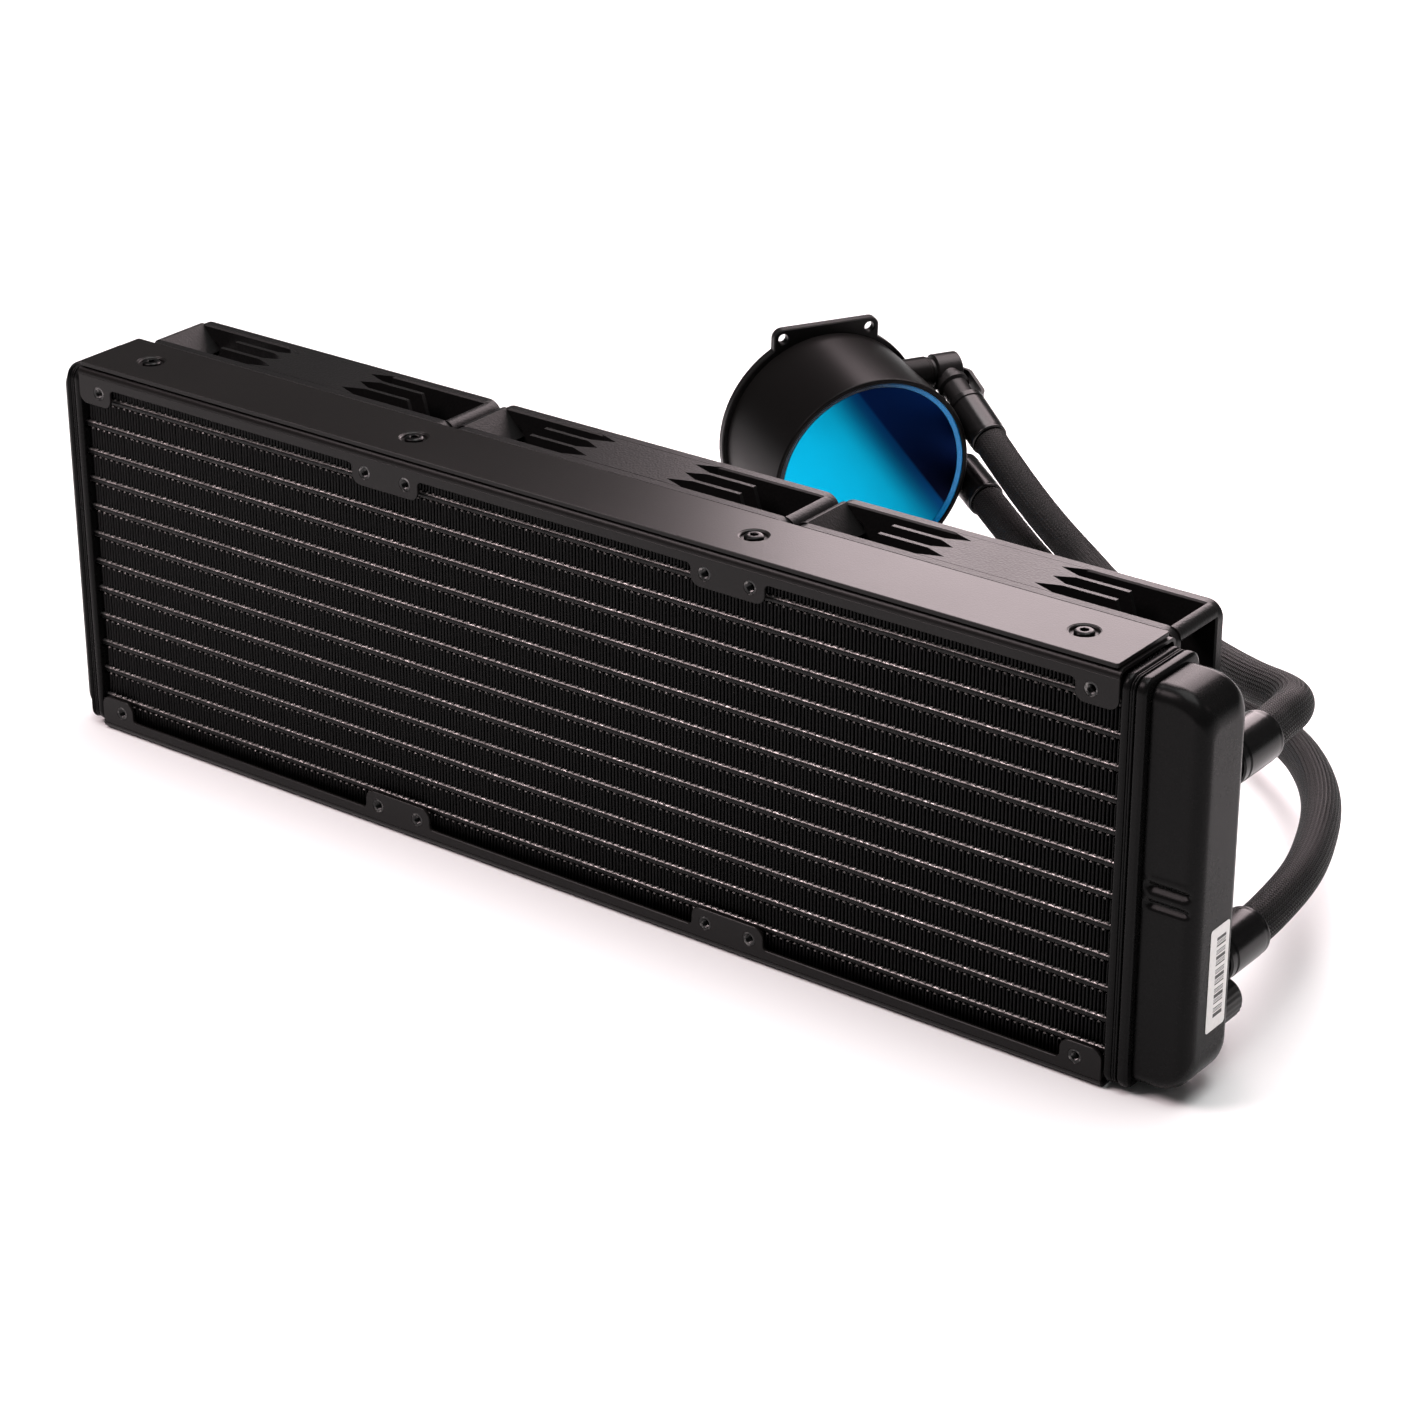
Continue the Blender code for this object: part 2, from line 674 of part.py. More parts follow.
def cold_plate():
    """Make the copper cold plate with its fine inner ribs."""
    plate = turned("cold_plate", [(0.0, -2.2), (28.4, -2.2), (28.4, 0.8), (0.0, 0.8)], 28)
    for i in range(5):
        x = (i - 2) * 4.4
        plate = join(plate, box("rib", (x - 0.8, -11.0, 0.5), (x + 0.8, 11.0, 2.6)))
    return finish(move(plate, pump_place()), "copper")


def pump_volute():
    """Make the plastic insert that parts the impeller from the motor."""
    body = turned("pump_volute", [
        (0.0, 3.4), (33.5, 3.4), (33.5, 5.6), (24.0, 5.6), (24.0, 14.0), (0.0, 14.0),
    ], 24)
    body = cut(body, turned("chamber", [
        (0.0, 2.0), (13.6, 2.0), (13.6, 9.4), (2.1, 9.4), (2.1, 15.0), (0.0, 15.0),
    ], 16))
    return finish(move(body, pump_place()), "plastic")


def impeller_blade(turn):
    """Give one curved impeller blade."""
    points = []
    for i in range(3):
        radius = 3.0 + 9.2 * i / 2.0
        angle = turn + 0.9 * (i / 2.0) ** 1.2
        points.append((radius * math.cos(angle), radius * math.sin(angle)))
    back = []
    for x, y in reversed(points):
        radius = math.hypot(x, y)
        angle = math.atan2(y, x) + 1.2 / radius
        back.append((radius * math.cos(angle), radius * math.sin(angle)))
    return prism("blade", points + back, 4.2, 8.0)


def pump_impeller():
    """Make the impeller with its shaft and magnet rotor on one axis."""
    body = turned("pump_impeller", [
        (0.0, 4.0), (3.6, 4.0), (3.6, 7.8), (12.6, 7.8), (12.6, 9.0), (1.5, 9.0),
        (1.5, 15.2), (7.0, 15.2), (7.0, 26.0), (0.0, 26.0),
    ], 16)
    blades = [impeller_blade(math.pi / 3.0 * k) for k in range(6)]
    body = join(body, merged("blades", blades))
    place = pump_place()
    body.data.transform(place.to_3x3().to_4x4())
    body.location = place.translation * MM
    return finish(smooth(body), "magnet")


def pump_stator():
    """Make the pump motor's wound core round the magnet rotor."""
    core = turned("pump_stator", [(7.6, 14.6), (21.0, 14.6), (21.0, 27.0), (7.6, 27.0)], 18)
    slots = []
    for i in range(6):
        outline = [(6.0, -0.7), (10.0, -0.7), (10.0, -2.6), (18.5, -6.4)]
        outline += [(x, -y) for x, y in reversed(outline)]
        slot = prism("slot", outline, 13.0, 29.0)
        slots.append(move(slot, Matrix.Rotation(math.pi / 3.0 * i, 4, "Z")))
    return finish(move(cut(core, merged("slots", slots)), pump_place()), "magnet")


def arm_direction(tilt):
    """Give the hose's way out of an elbow, in the pump's own frame."""
    return Vector((0.0, -math.sin(tilt), math.cos(tilt)))


def pump_elbow(name, height, tilt):
    """Make one swivelling elbow with its barb."""
    elbow = rod(name, (35.9, height, ELBOW_HEIGHT), (1, 0, 0), 10.6, 6.2, 14)
    centre = (ELBOW_OUT, height, ELBOW_HEIGHT)
    way = arm_direction(tilt)
    elbow = join(elbow, rod("arm", centre, way, ARM_END, 4.6, 12))
    elbow = join(elbow, rod("barb", centre, way, ARM_END + 11.0, BARB_RADIUS, 12))
    return finish(smooth(move(elbow, pump_place())), "plastic")


# ------------------------------------------------------------------- hoses

def ferrule(name, radius, place):
    """Make one crimped sleeve, its blind bore open towards the barb."""
    length = FERRULE_LENGTH
    profile = [
        (4.25, 0.0), (radius - 0.4, 0.0), (radius, 0.6), (radius, length - 1.0),
        (radius - 0.5, length), (0.0, length), (0.0, 13.0), (4.25, 13.0),
    ]
    return finish(smooth(move(turned(name, profile, 14), place)), "satin")


def elbow_point(height, tilt, distance):
    """Give a point on an elbow's hose axis and its direction, in the model."""
    place = pump_place()
    way = arm_direction(tilt)
    local = Vector((ELBOW_OUT, height, ELBOW_HEIGHT)) + way * distance
    return place @ local, place.to_3x3() @ way


# The hoses' own points, in millimetres, from the radiator to the pump.
LOWER_ROUTE = [
    (194.3, 50.2, 31.5), (190.9, 69.5, 31), (183.4, 91.6, 29.5), (171.7, 116.6, 27),
    (156.3, 139.6, 24), (140.6, 157.1, 21), (125, 170.2, 18), (111.2, 179.6, 15.5),
    (94, 190, 11), (76, 202, 8), (56.5, 214, 6.5), (37.5, 224.5, 6.3), (18, 234.5, 8),
    (-1.5, 243.3, 12.2),
]
UPPER_ROUTE = [
    (194.6, 43.3, 88), (193.5, 52.1, 87.5), (189.4, 60.7, 86), (182.4, 67, 84),
    (174.1, 72.9, 81.5), (164.8, 80.4, 78.5), (153.5, 90.8, 74.5), (138.4, 105.3, 69),
    (121.6, 124.2, 61), (102, 148.8, 50), (82.1, 173.7, 39), (62.8, 196.4, 29.5),
    (44.5, 216.2, 22.5), (29.4, 230.1, 20), (16.5, 239.7, 20.5), (5.6, 243.8, 24.5),
]


def spline(points, start_way, end_way, step):
    """Read evenly spaced points from a smooth curve through the route."""
    knots = np.array([tuple(p) for p in points])
    spans = np.linalg.norm(np.diff(knots, axis=0), axis=1)
    count = len(knots)
    system = np.zeros((count, count))
    known = np.zeros((count, 3))
    system[0, 0] = system[-1, -1] = 1.0
    known[0] = tuple(start_way)
    known[-1] = tuple(end_way)
    for i in range(1, count - 1):
        before, after = spans[i - 1], spans[i]
        system[i, i - 1: i + 2] = (after, 2.0 * (before + after), before)
        rise = (knots[i] - knots[i - 1]) / before * after + (knots[i + 1] - knots[i]) / after * before
        known[i] = 3.0 * rise
    slopes = np.linalg.solve(system, known)
    fine = []
    for i in range(count - 1):
        for part in np.linspace(0.0, 1.0, 40, endpoint=i == count - 2):
            a, b = 1 - part, part
            point = knots[i] * a * a * (1 + 2 * b) + knots[i + 1] * b * b * (1 + 2 * a)
            point = point + spans[i] * (slopes[i] * b * a * a - slopes[i + 1] * a * b * b)
            fine.append(point)
    fine = np.array(fine)
    run = np.concatenate(([0.0], np.cumsum(np.linalg.norm(np.diff(fine, axis=0), axis=1))))
    marks = np.linspace(HOSE_TIP, run[-1] - HOSE_TIP, max(2, round(run[-1] / step)) + 1)
    marks = [0.0, *marks, run[-1]]
    return [tuple(np.interp(mark, run, fine[:, k]) for k in range(3)) for mark in marks]


def hose(name, port_height, route, elbow_height, tilt):
    """Lay one hose as a tube from its radiator ferrule to its pump ferrule."""
    first = (PORT_X, FERRULE_START + FERRULE_LENGTH + GAP, port_height)
    last, way = elbow_point(elbow_height, tilt, ARM_END + 0.3 + FERRULE_LENGTH + GAP)
    points = spline([first] + route + [tuple(last)], (0, 1, 0), -way, HOSE_STEP)
    line = bpy.data.curves.new(name, "CURVE")
    line.dimensions = "3D"
    line.bevel_depth = HOSE_RADIUS * MM
    line.bevel_resolution = 2
    line.resolution_u = 1
    line.render_resolution_u = 0
    line.use_fill_caps = True
    path = line.splines.new("POLY")
    path.points.add(len(points) - 1)
    for node, point in zip(path.points, points):
        node.co = (*[c * MM for c in point], 1.0)
    obj = bpy.data.objects.new(name, line)
    bpy.context.collection.objects.link(obj)
    return finish(obj, "hose")


# ---------------------------------------------------------------- assembly

def build_radiator():
    """Build the core, its frame and the end tanks."""
    for index in range(1, ROW_COUNT + 1):
        core_row(index)
    low = MIDDLE - CHANNEL_HEIGHT + SHEET + GAP
    high = MIDDLE - (ROW_COUNT - 1) / 2.0 * ROW_PITCH - TUBE_THICK / 2.0 - GAP
    finish(fin_strip("core_end_fin", low, high), "fin")
    header_plate("header_plate_left", -1)
    header_plate("header_plate_right", 1)
    end_tank("end_tank_left", -1, LEFT_END, 5.0, 2.6)
    end_tank("end_tank_right", 1, RIGHT_END, 11.0, 4.0)
    tank_baffle()
    side_channel("side_channel_top", 1)
    side_channel("side_channel_bottom", -1)
    cover_plate("cover_plate")
    for index in range(len(COVER_SCREWS)):
        cover_screw(index)
    hose_port("port_upper", PORT_HIGH)
    hose_port("port_lower", PORT_LOW)
    fill_plug()


def build_fans():
    """Build the three fans, each a frame, a motor core and a rotor."""
    for index in range(FAN_COUNT):
        fan_frame(index)
        fan_stator(index)
        fan_rotor(index)


def build_pump():
    """Build the pump head from the cold plate up to the mirror."""
    cold_plate()
    pump_turned("cold_plate_seal", [(26.0, 1.1), (27.6, 1.1), (27.6, 3.1), (26.0, 3.1)], "rubber", 28)
    pump_bracket()
    pump_shell()
    pump_volute()
    pump_impeller()
    pump_stator()
    pump_turned("pump_trim_ring", [
        (32.3, 39.5), (33.6, 39.5), (33.6, 42.7), (33.2, 42.7), (32.3, 41.8),
    ], "mirror", 40)
    pump_turned("pump_mirror", [(0.0, 39.5), (32.0, 39.5), (32.0, 41.2), (31.6, 41.6), (0.0, 41.6)], "mirror", 40)
    pump_elbow("pump_elbow_upper", ELBOW_HIGH, TILT_HIGH)
    pump_elbow("pump_elbow_lower", ELBOW_LOW, TILT_LOW)


def build_hoses():
    """Build the two hoses and the four ferrules that hold their ends."""
    for name, height in (("upper", PORT_HIGH), ("lower", PORT_LOW)):
        place = facing((0, 1, 0), (PORT_X, FERRULE_START, height))
        ferrule(f"ferrule_radiator_{name}", TANK_FERRULE, place)
    for name, height, tilt in (("upper", ELBOW_HIGH, TILT_HIGH), ("lower", ELBOW_LOW, TILT_LOW)):
        point, way = elbow_point(height, tilt, ARM_END + 0.3)
        ferrule(f"ferrule_pump_{name}", PUMP_FERRULE, facing(way, point))
    hose("hose_lower", PORT_LOW, LOWER_ROUTE, ELBOW_LOW, TILT_LOW)
    hose("hose_upper", PORT_HIGH, UPPER_ROUTE, ELBOW_HIGH, TILT_HIGH)


def main():
    """Build the whole cooler."""
    clear_scene()
    build_radiator()
    build_fans()
    build_pump()
    build_hoses()


main()
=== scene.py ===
"""Looks of a three-fan liquid cooling radiator with its pump head and braided hoses.

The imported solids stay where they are. Each class below shapes the fine surface of one
sub-assembly around them, in millimetres, and dresses it in a procedural finish.
"""

import logging
import math
import random
from dataclasses import dataclass, field
from enum import Enum
from typing import Iterable, Sequence, Union

import bmesh
import bpy
import numpy as np
from mathutils import Matrix, Vector


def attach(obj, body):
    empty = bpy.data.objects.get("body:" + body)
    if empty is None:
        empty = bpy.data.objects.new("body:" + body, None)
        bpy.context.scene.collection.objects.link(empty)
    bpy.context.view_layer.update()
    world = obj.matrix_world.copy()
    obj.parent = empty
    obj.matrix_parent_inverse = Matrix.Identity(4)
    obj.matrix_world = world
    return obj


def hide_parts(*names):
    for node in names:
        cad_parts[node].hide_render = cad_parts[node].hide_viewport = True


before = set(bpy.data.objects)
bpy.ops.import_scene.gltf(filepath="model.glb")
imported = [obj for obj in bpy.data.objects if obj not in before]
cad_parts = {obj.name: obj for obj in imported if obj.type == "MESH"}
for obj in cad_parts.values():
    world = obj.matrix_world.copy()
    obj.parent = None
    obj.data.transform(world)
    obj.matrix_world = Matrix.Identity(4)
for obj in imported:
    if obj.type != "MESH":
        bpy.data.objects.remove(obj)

LOG = logging.getLogger("radiator")
MM = 0.001
COOLER = "cooler"
PORT_X = 195.6
PORT_UPPER = 88.3
PORT_LOWER = 31.6
FERRULE_START = 12.9
FERRULE_END = 33.2
ARM_END = 18.0
ARM_UPPER = (18.5, math.radians(15.0))
ARM_LOWER = (-8.0, math.radians(8.0))
STILL = Matrix.Identity(4)
Pair = tuple[float, float]
Triple = tuple[float, float, float]
Colour = tuple[float, float, float, float]


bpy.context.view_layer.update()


# ------------------------------------------------------------------ shader maths

class Wire:
    """One socket of a node tree, on which arithmetic adds Math nodes."""

    def __init__(self, bench: "Bench", socket: bpy.types.NodeSocket) -> None:
        """Keep the bench and the socket that the wire starts from."""
        self.bench = bench
        self.socket = socket

    def _pair(self, operation: str, first: "Value", second: "Value" = 0.0) -> "Wire":
        """Add one Math node.

        Args:
            operation: the Math node's operation.
            first: its first value or wire.
            second: its second value or wire.

        Returns:
            The wire that leaves the node.
        """
        return self.bench.wire("ShaderNodeMath", {"operation": operation}, {0: first, 1: second})

    def __add__(self, other: "Value") -> "Wire":
        """Add a value."""
        return self._pair("ADD", self, other)

    def __radd__(self, other: "Value") -> "Wire":
        """Add to a value."""
        return self._pair("ADD", other, self)

    def __sub__(self, other: "Value") -> "Wire":
        """Take a value away."""
        return self._pair("SUBTRACT", self, other)

    def __rsub__(self, other: "Value") -> "Wire":
        """Take this away from a value."""
        return self._pair("SUBTRACT", other, self)

    def __mul__(self, other: "Value") -> "Wire":
        """Multiply by a value."""
        return self._pair("MULTIPLY", self, other)

    def __rmul__(self, other: "Value") -> "Wire":
        """Multiply a value by this."""
        return self._pair("MULTIPLY", other, self)

    def __mod__(self, other: "Value") -> "Wire":
        """Give the remainder, never negative."""
        return self._pair("FLOORED_MODULO", self, other)

    def __abs__(self) -> "Wire":
        """Drop the sign."""
        return self._pair("ABSOLUTE", self)

    def __gt__(self, other: "Value") -> "Wire":
        """Give 1 where this is the larger."""
        return self._pair("GREATER_THAN", self, other)

    def sine(self) -> "Wire":
        """Give the sine of this angle in radians."""
        return self._pair("SINE", self)

    def largest(self, other: "Value") -> "Wire":
        """Keep the larger of two values."""
        return self._pair("MAXIMUM", self, other)

    def ease(self, low: float, high: float) -> "Wire":
        """Rise smoothly from 0 at low to 1 at high."""
        sockets = {0: self, 1: low, 2: high, 3: 0.0, 4: 1.0}
        return self.bench.wire("ShaderNodeMapRange", {"interpolation_type": "SMOOTHSTEP"}, sockets)


Value = Union[Wire, float, Colour, Triple]


class Bench:
    """A material on the bench: its node tree and its one Principled shader."""

    def __init__(self, name: str) -> None:
        """Start a material with a bare Principled shader.

        Args:
            name: the material's name.
        """
        self.material = bpy.data.materials.new(name)
        self.material.use_nodes = True
        self.tree = self.material.node_tree
        self.shader = self.tree.nodes["Principled BSDF"]

    def node(self, kind: str, settings: dict, sockets: dict) -> bpy.types.Node:
        """Add any node.

        Args:
            kind: the node's type name.
            settings: its properties, set first.
            sockets: values or wires by the inputs' names or places.

        Returns:
            The node.
        """
        made = self.tree.nodes.new(kind)
        for key, value in settings.items():
            setattr(made, key, value)
        for key, value in sockets.items():
            self.feed(made.inputs[key], value)
        return made

    def feed(self, socket: bpy.types.NodeSocket, value: Value) -> None:
        """Link a wire to a socket, or set the socket's own value."""
        if isinstance(value, Wire):
            self.tree.links.new(value.socket, socket)
        else:
            socket.default_value = value

    def wire(self, kind: str, settings: dict, sockets: dict, out: Union[int, str] = 0) -> Wire:
        """Add a node and return the wire from one of its outputs."""
        return Wire(self, self.node(kind, settings, sockets).outputs[out])

    def place(self) -> Wire:
        """Give the point's place on the piece, in metres."""
        return self.wire("ShaderNodeTexCoord", {}, {}, "Object")

    def axes(self, source: Wire) -> tuple[Wire, Wire, Wire]:
        """Split a vector into its three values."""
        split = self.node("ShaderNodeSeparateXYZ", {}, {0: source})
        return tuple(Wire(self, split.outputs[i]) for i in range(3))

    def noise(self, scale: float, detail: float = 3.0, source: Union[Wire, None] = None) -> Wire:
        """Give cloudy noise from 0 to 1.

        Args:
            scale: the number of blotches in a metre.
            detail: how many finer layers it has.
            source: the vector it is read at, the point's place if none.

        Returns:
            The noise.
        """
        sockets = {"Vector": source or self.place(), "Scale": scale, "Detail": detail}
        return self.wire("ShaderNodeTexNoise", {}, sockets)

    def grain(self, scale: float) -> Wire:
        """Give the cells of a spark-eroded mould, from 0 at their middles."""
        sockets = {"Vector": self.place(), "Scale": scale}
        return self.wire("ShaderNodeTexVoronoi", {"feature": "SMOOTH_F1"}, sockets, "Distance")

    def mix(self, factor: Value, first: Value, second: Value) -> Wire:
        """Mix two colours.

        Args:
            factor: 0 for the first, 1 for the second.
            first: the first colour.
            second: the second colour.

        Returns:
            The mixed colour.
        """
        sockets = {0: factor, 6: first, 7: second}
        return self.wire("ShaderNodeMix", {"data_type": "RGBA"}, sockets, 2)

    def bump(self, height: Wire, depth: float, strength: float = 1.0) -> None:
        """Feed a height to the shader's normal.

        Args:
            height: the height from 0 to 1.
            depth: its full swing in metres.
            strength: how much of it is used.
        """
        sockets = {"Strength": strength, "Distance": depth, "Height": height}
        self.feed(self.shader.inputs["Normal"], self.wire("ShaderNodeBump", {}, sockets))

    def set(self, **values: Value) -> None:
        """Set or link the shader's own sockets, named with _ for a space."""
        for key, value in values.items():
            self.feed(self.shader.inputs[key.replace("_", " ")], value)


def grey(level: float, warm: float = 0.0) -> Colour:
    """Give a grey, or a slightly warm one."""
    return (level * (1.0 + warm), level, level * (1.0 - warm * 0.3), 1.0)


# --------------------------------------------------------------------- finishes

@dataclass(frozen=True)
class Finish:
    """A finish: its name, the record's material slot, and a way to mix it."""

    name: str
    slot: str

    def mix(self) -> bpy.types.Material:
        """Mix the finish on first use.

        Returns:
            Its material.
        """
        known = bpy.data.materials.get(self.name)
        if known is None:
            bench = Bench(self.name)
            self.brush(bench)
            known = bench.material
        return known

    def brush(self, bench: Bench) -> None:
        """Put the finish on the bench's shader."""
        raise NotImplementedError


@dataclass(frozen=True)
class Coating(Finish):
    """Paint or powder: a fine grain, cloudy gloss and a trace of dust."""

    level: float = 0.02
    warm: float = 0.06
    rough: float = 0.42
    sway: float = 0.08
    grain: float = 1800.0
    depth: float = 0.00003
    gloss: float = 0.3

    def brush(self, bench: Bench) -> None:
        """Mix paint with a cloudy gloss and a fine orange-peel grain.

        Args:
            bench: the material's bench.
        """
        cloud = bench.noise(45.0, 4.0)
        speck = bench.noise(self.grain, 2.0)
        dark = grey(self.level * 0.8, self.warm)
        pale = grey(self.level * 1.3, self.warm)
        bench.set(Base_Color=bench.mix(cloud * 0.6 + speck * 0.4, dark, pale))
        bench.set(Specular_IOR_Level=self.gloss)
        bench.set(Roughness=(cloud - 0.5) * self.sway + (speck - 0.5) * self.sway * 0.8 + self.rough)
        bench.bump(speck, self.depth, 0.6)


@dataclass(frozen=True)
class Moulded(Finish):
    """Moulded plastic with the grain of its tool."""

    level: float = 0.02
    rough: float = 0.5
    cell: float = 1500.0
    depth: float = 0.00006
    gloss: float = 0.25

    def brush(self, bench: Bench) -> None:
        """Mix plastic with eroded cells and slow flow marks.

        Args:
            bench: the material's bench.
        """
        cells = bench.grain(self.cell)
        flow = bench.noise(30.0, 2.0)
        tone = cells * 0.5 + flow * 0.5
        bench.set(Base_Color=bench.mix(tone, grey(self.level * 0.75), grey(self.level * 1.35, 0.05)))
        bench.set(Specular_IOR_Level=self.gloss)
        bench.set(Roughness=flow * 0.12 + cells * 0.1 + (self.rough - 0.11))
        bench.bump(cells, self.depth, 0.7)


@dataclass(frozen=True)
class FinStock(Finish):
    """Thin fin strip under a thin coat, cut into louvres across its depth."""

    pitch: float = 1.3
    level: float = 0.016

    def brush(self, bench: Bench) -> None:
        """Mix thin paint with louvres that run up the fin's wall.

        Args:
            bench: the material's bench.
        """
        _, depth, _ = bench.axes(bench.place())
        louvre = (depth * (2.0 * math.pi / (self.pitch * MM))).sine()
        patch = bench.noise(260.0, 3.0)
        tone = (louvre * 0.5 + 0.5) * 0.5 + patch * 0.5
        bench.set(Base_Color=bench.mix(tone, grey(self.level * 0.6), grey(self.level * 1.7, 0.08)))
        bench.set(Roughness=patch * 0.2 + 0.3, Specular_IOR_Level=0.12)
        bench.bump(louvre, 0.00035, 0.8)


@dataclass(frozen=True)
class GlintPaintedTube(Finish):
    """Tube walls under a thin coat, with a painted highlight: brighter, more metallic bands along the top and
    bottom edges of each tube's noses.
    """

    level: float = 0.03

    def brush(self, bench: Bench) -> None:
        """Mix thin paint with a painted highlight in dotted bands on the tube noses.

        Args:
            bench: the material's bench.
        """
        # Noise that breaks the painted highlight into dots; it also gives the fine bump.
        bead = bench.noise(900.0, 2.0).ease(0.45, 0.65)
        cloud = bench.noise(60.0, 3.0)
        _, depth, height = bench.axes(bench.place())
        phase = height % 0.009
        crown = phase.ease(0.0015, 0.0018).largest(1.0 - phase.ease(0.0003, 0.0005))
        # Painted highlight: the base colour turns bright and metallic on the noses' top and bottom bands.
        painted_glint = abs(depth).ease(0.0098, 0.0106) * crown * (bead * 0.5 + 0.5)
        bench.set(Base_Color=bench.mix(painted_glint, grey(self.level * 0.2), grey(self.level * 9.0, 0.08)))
        bench.set(Roughness=cloud * 0.16 + 0.24, Metallic=painted_glint * 0.8, Specular_IOR_Level=0.1)
        bench.bump(bead, 0.00008, 0.8)


@dataclass(frozen=True)
class Braid(Finish):
    """A woven sleeve: two families of yarns that pass over and under."""

    level: float = 0.004
    threads: float = 3.0

    def brush(self, bench: Bench) -> None:
        """Mix yarns from the lay map, with filaments along each.

        Args:
            bench: the material's bench.
        """
        lay = bench.wire("ShaderNodeUVMap", {"uv_map": "lay"}, {})
        around, along, _ = bench.axes(lay)
        right = around + along
        left = around - along
        over = (((right - right % 1.0) + (left - left % 1.0)) % 2.0) > 0.5
        yarn = over * (right % 1.0) + (1.0 - over) * (left % 1.0)
        ridge = (yarn * math.pi).sine()
        filament = (yarn * (2.0 * math.pi * self.threads)).sine() * 0.5 + 0.5
        patch = bench.noise(500.0, 2.0)
        # Painted shade: the base colour is darker in the gaps between the yarns and lighter on their crowns.
        tone = ridge * 0.55 + filament * 0.25 + patch * 0.2
        bench.set(Base_Color=bench.mix(tone, grey(self.level * 0.35), grey(self.level * 2.6, 0.05)))
        bench.set(Roughness=(1.0 - ridge) * 0.3 + patch * 0.08 + 0.2, Specular_IOR_Level=0.16)
        bench.bump(ridge * 0.5 + filament * 0.5, 0.00025, 1.0)


@dataclass(frozen=True)
class DarkSteel(Finish):
    """Black-oxide or stamped steel with turning marks."""

    level: float = 0.09
    rough: float = 0.28

    def brush(self, bench: Bench) -> None:
        """Mix dark metal with fine scratches and rubbed spots.

        Args:
            bench: the material's bench.
        """
        scratch = bench.noise(2600.0, 4.0)
        rub = bench.noise(700.0, 2.0).ease(0.5, 0.75)
        bench.set(Base_Color=bench.mix(rub, grey(self.level * 0.6), grey(self.level * 3.0, 0.05)))
        bench.set(Roughness=scratch * 0.2 + (self.rough - 0.1), Metallic=0.95)
        bench.bump(scratch, 0.00002, 0.6)


@dataclass(frozen=True)
class BlueMirror(Finish):
    """A blue mirror with a painted reflection: a cyan glow on one side of a slanting line and navy on the
    other, darker towards the bottom.
    """

    centre: Triple = (0.0, 0.0, 0.0)
    across: Triple = (1.0, 0.0, 0.0)
    lift: Triple = (0.0, 0.0, 1.0)

    def _along(self, bench: Bench, way: Sequence[float]) -> Wire:
        """Give the distance from the mirror's centre along a direction.

        Args:
            bench: the material's bench.
            way: the direction.

        Returns:
            The distance in metres.
        """
        sockets = {0: bench.place(), 1: self.centre}
        offset = bench.wire("ShaderNodeVectorMath", {"operation": "SUBTRACT"}, sockets)
        sockets = {0: offset, 1: tuple(way)}
        return bench.wire("ShaderNodeVectorMath", {"operation": "DOT_PRODUCT"}, sockets, "Value")

    def brush(self, bench: Bench) -> None:
        """Mix the painted reflection's two tones, a painted soft glow between them, and a few wipe marks.

        Args:
            bench: the material's bench.
        """
        side = self._along(bench, self.across)
        rise = self._along(bench, self.lift)
        # The slanting split, the glow that fades across it and the navy that darkens towards the bottom are
        # all painted reflection.
        slant = side * 0.80 + rise * 0.60
        split = slant.ease(0.0132, 0.0144)
        fade = slant.ease(0.0010, 0.0130)
        wipe = bench.noise(90.0, 3.0)
        painted_reflection = bench.mix(fade, (0.0, 0.27, 0.44, 1.0), (0.0, 0.035, 0.12, 1.0))
        deep = bench.mix(rise.ease(-0.012, 0.024), (0.0, 0.001, 0.009, 1.0), (0.0, 0.008, 0.05, 1.0))
        bench.set(Base_Color=bench.mix(split, painted_reflection, deep))
        bench.set(Roughness=wipe * 0.08 + 0.26, Metallic=0.9, Specular_IOR_Level=0.1)
        bench.bump(bench.noise(140.0, 2.0), 0.00001, 0.3)


@dataclass(frozen=True)
class BlueEdge(Finish):
    """The polished blue bevel round the mirror, with a painted reflection that leaves it dark on its far
    side.
    """

    centre: Triple = (0.0, 0.0, 0.0)
    across: Triple = (1.0, 0.0, 0.0)

    def brush(self, bench: Bench) -> None:
        """Mix a blue metal with a painted reflection that dims it to black across the mirror, with polishing
        lines.

        Args:
            bench: the material's bench.
        """
        line = bench.noise(1200.0, 3.0)
        sockets = {0: bench.place(), 1: self.centre}
        offset = bench.wire("ShaderNodeVectorMath", {"operation": "SUBTRACT"}, sockets)
        sockets = {0: offset, 1: self.across}
        side = bench.wire("ShaderNodeVectorMath", {"operation": "DOT_PRODUCT"}, sockets, "Value")
        # Painted reflection: blue on the near side of the bevel, near black on the far side.
        painted_reflection = side.ease(-0.006, 0.028)
        blue = bench.mix(line, (0.0, 0.12, 0.34, 1.0), (0.0, 0.20, 0.46, 1.0))
        bench.set(Base_Color=bench.mix(painted_reflection, (0.002, 0.006, 0.012, 1.0), blue))
        bench.set(Roughness=line * 0.1 + 0.2, Metallic=0.2, Specular_IOR_Level=0.3)
        bench.bump(line, 0.00001, 0.4)


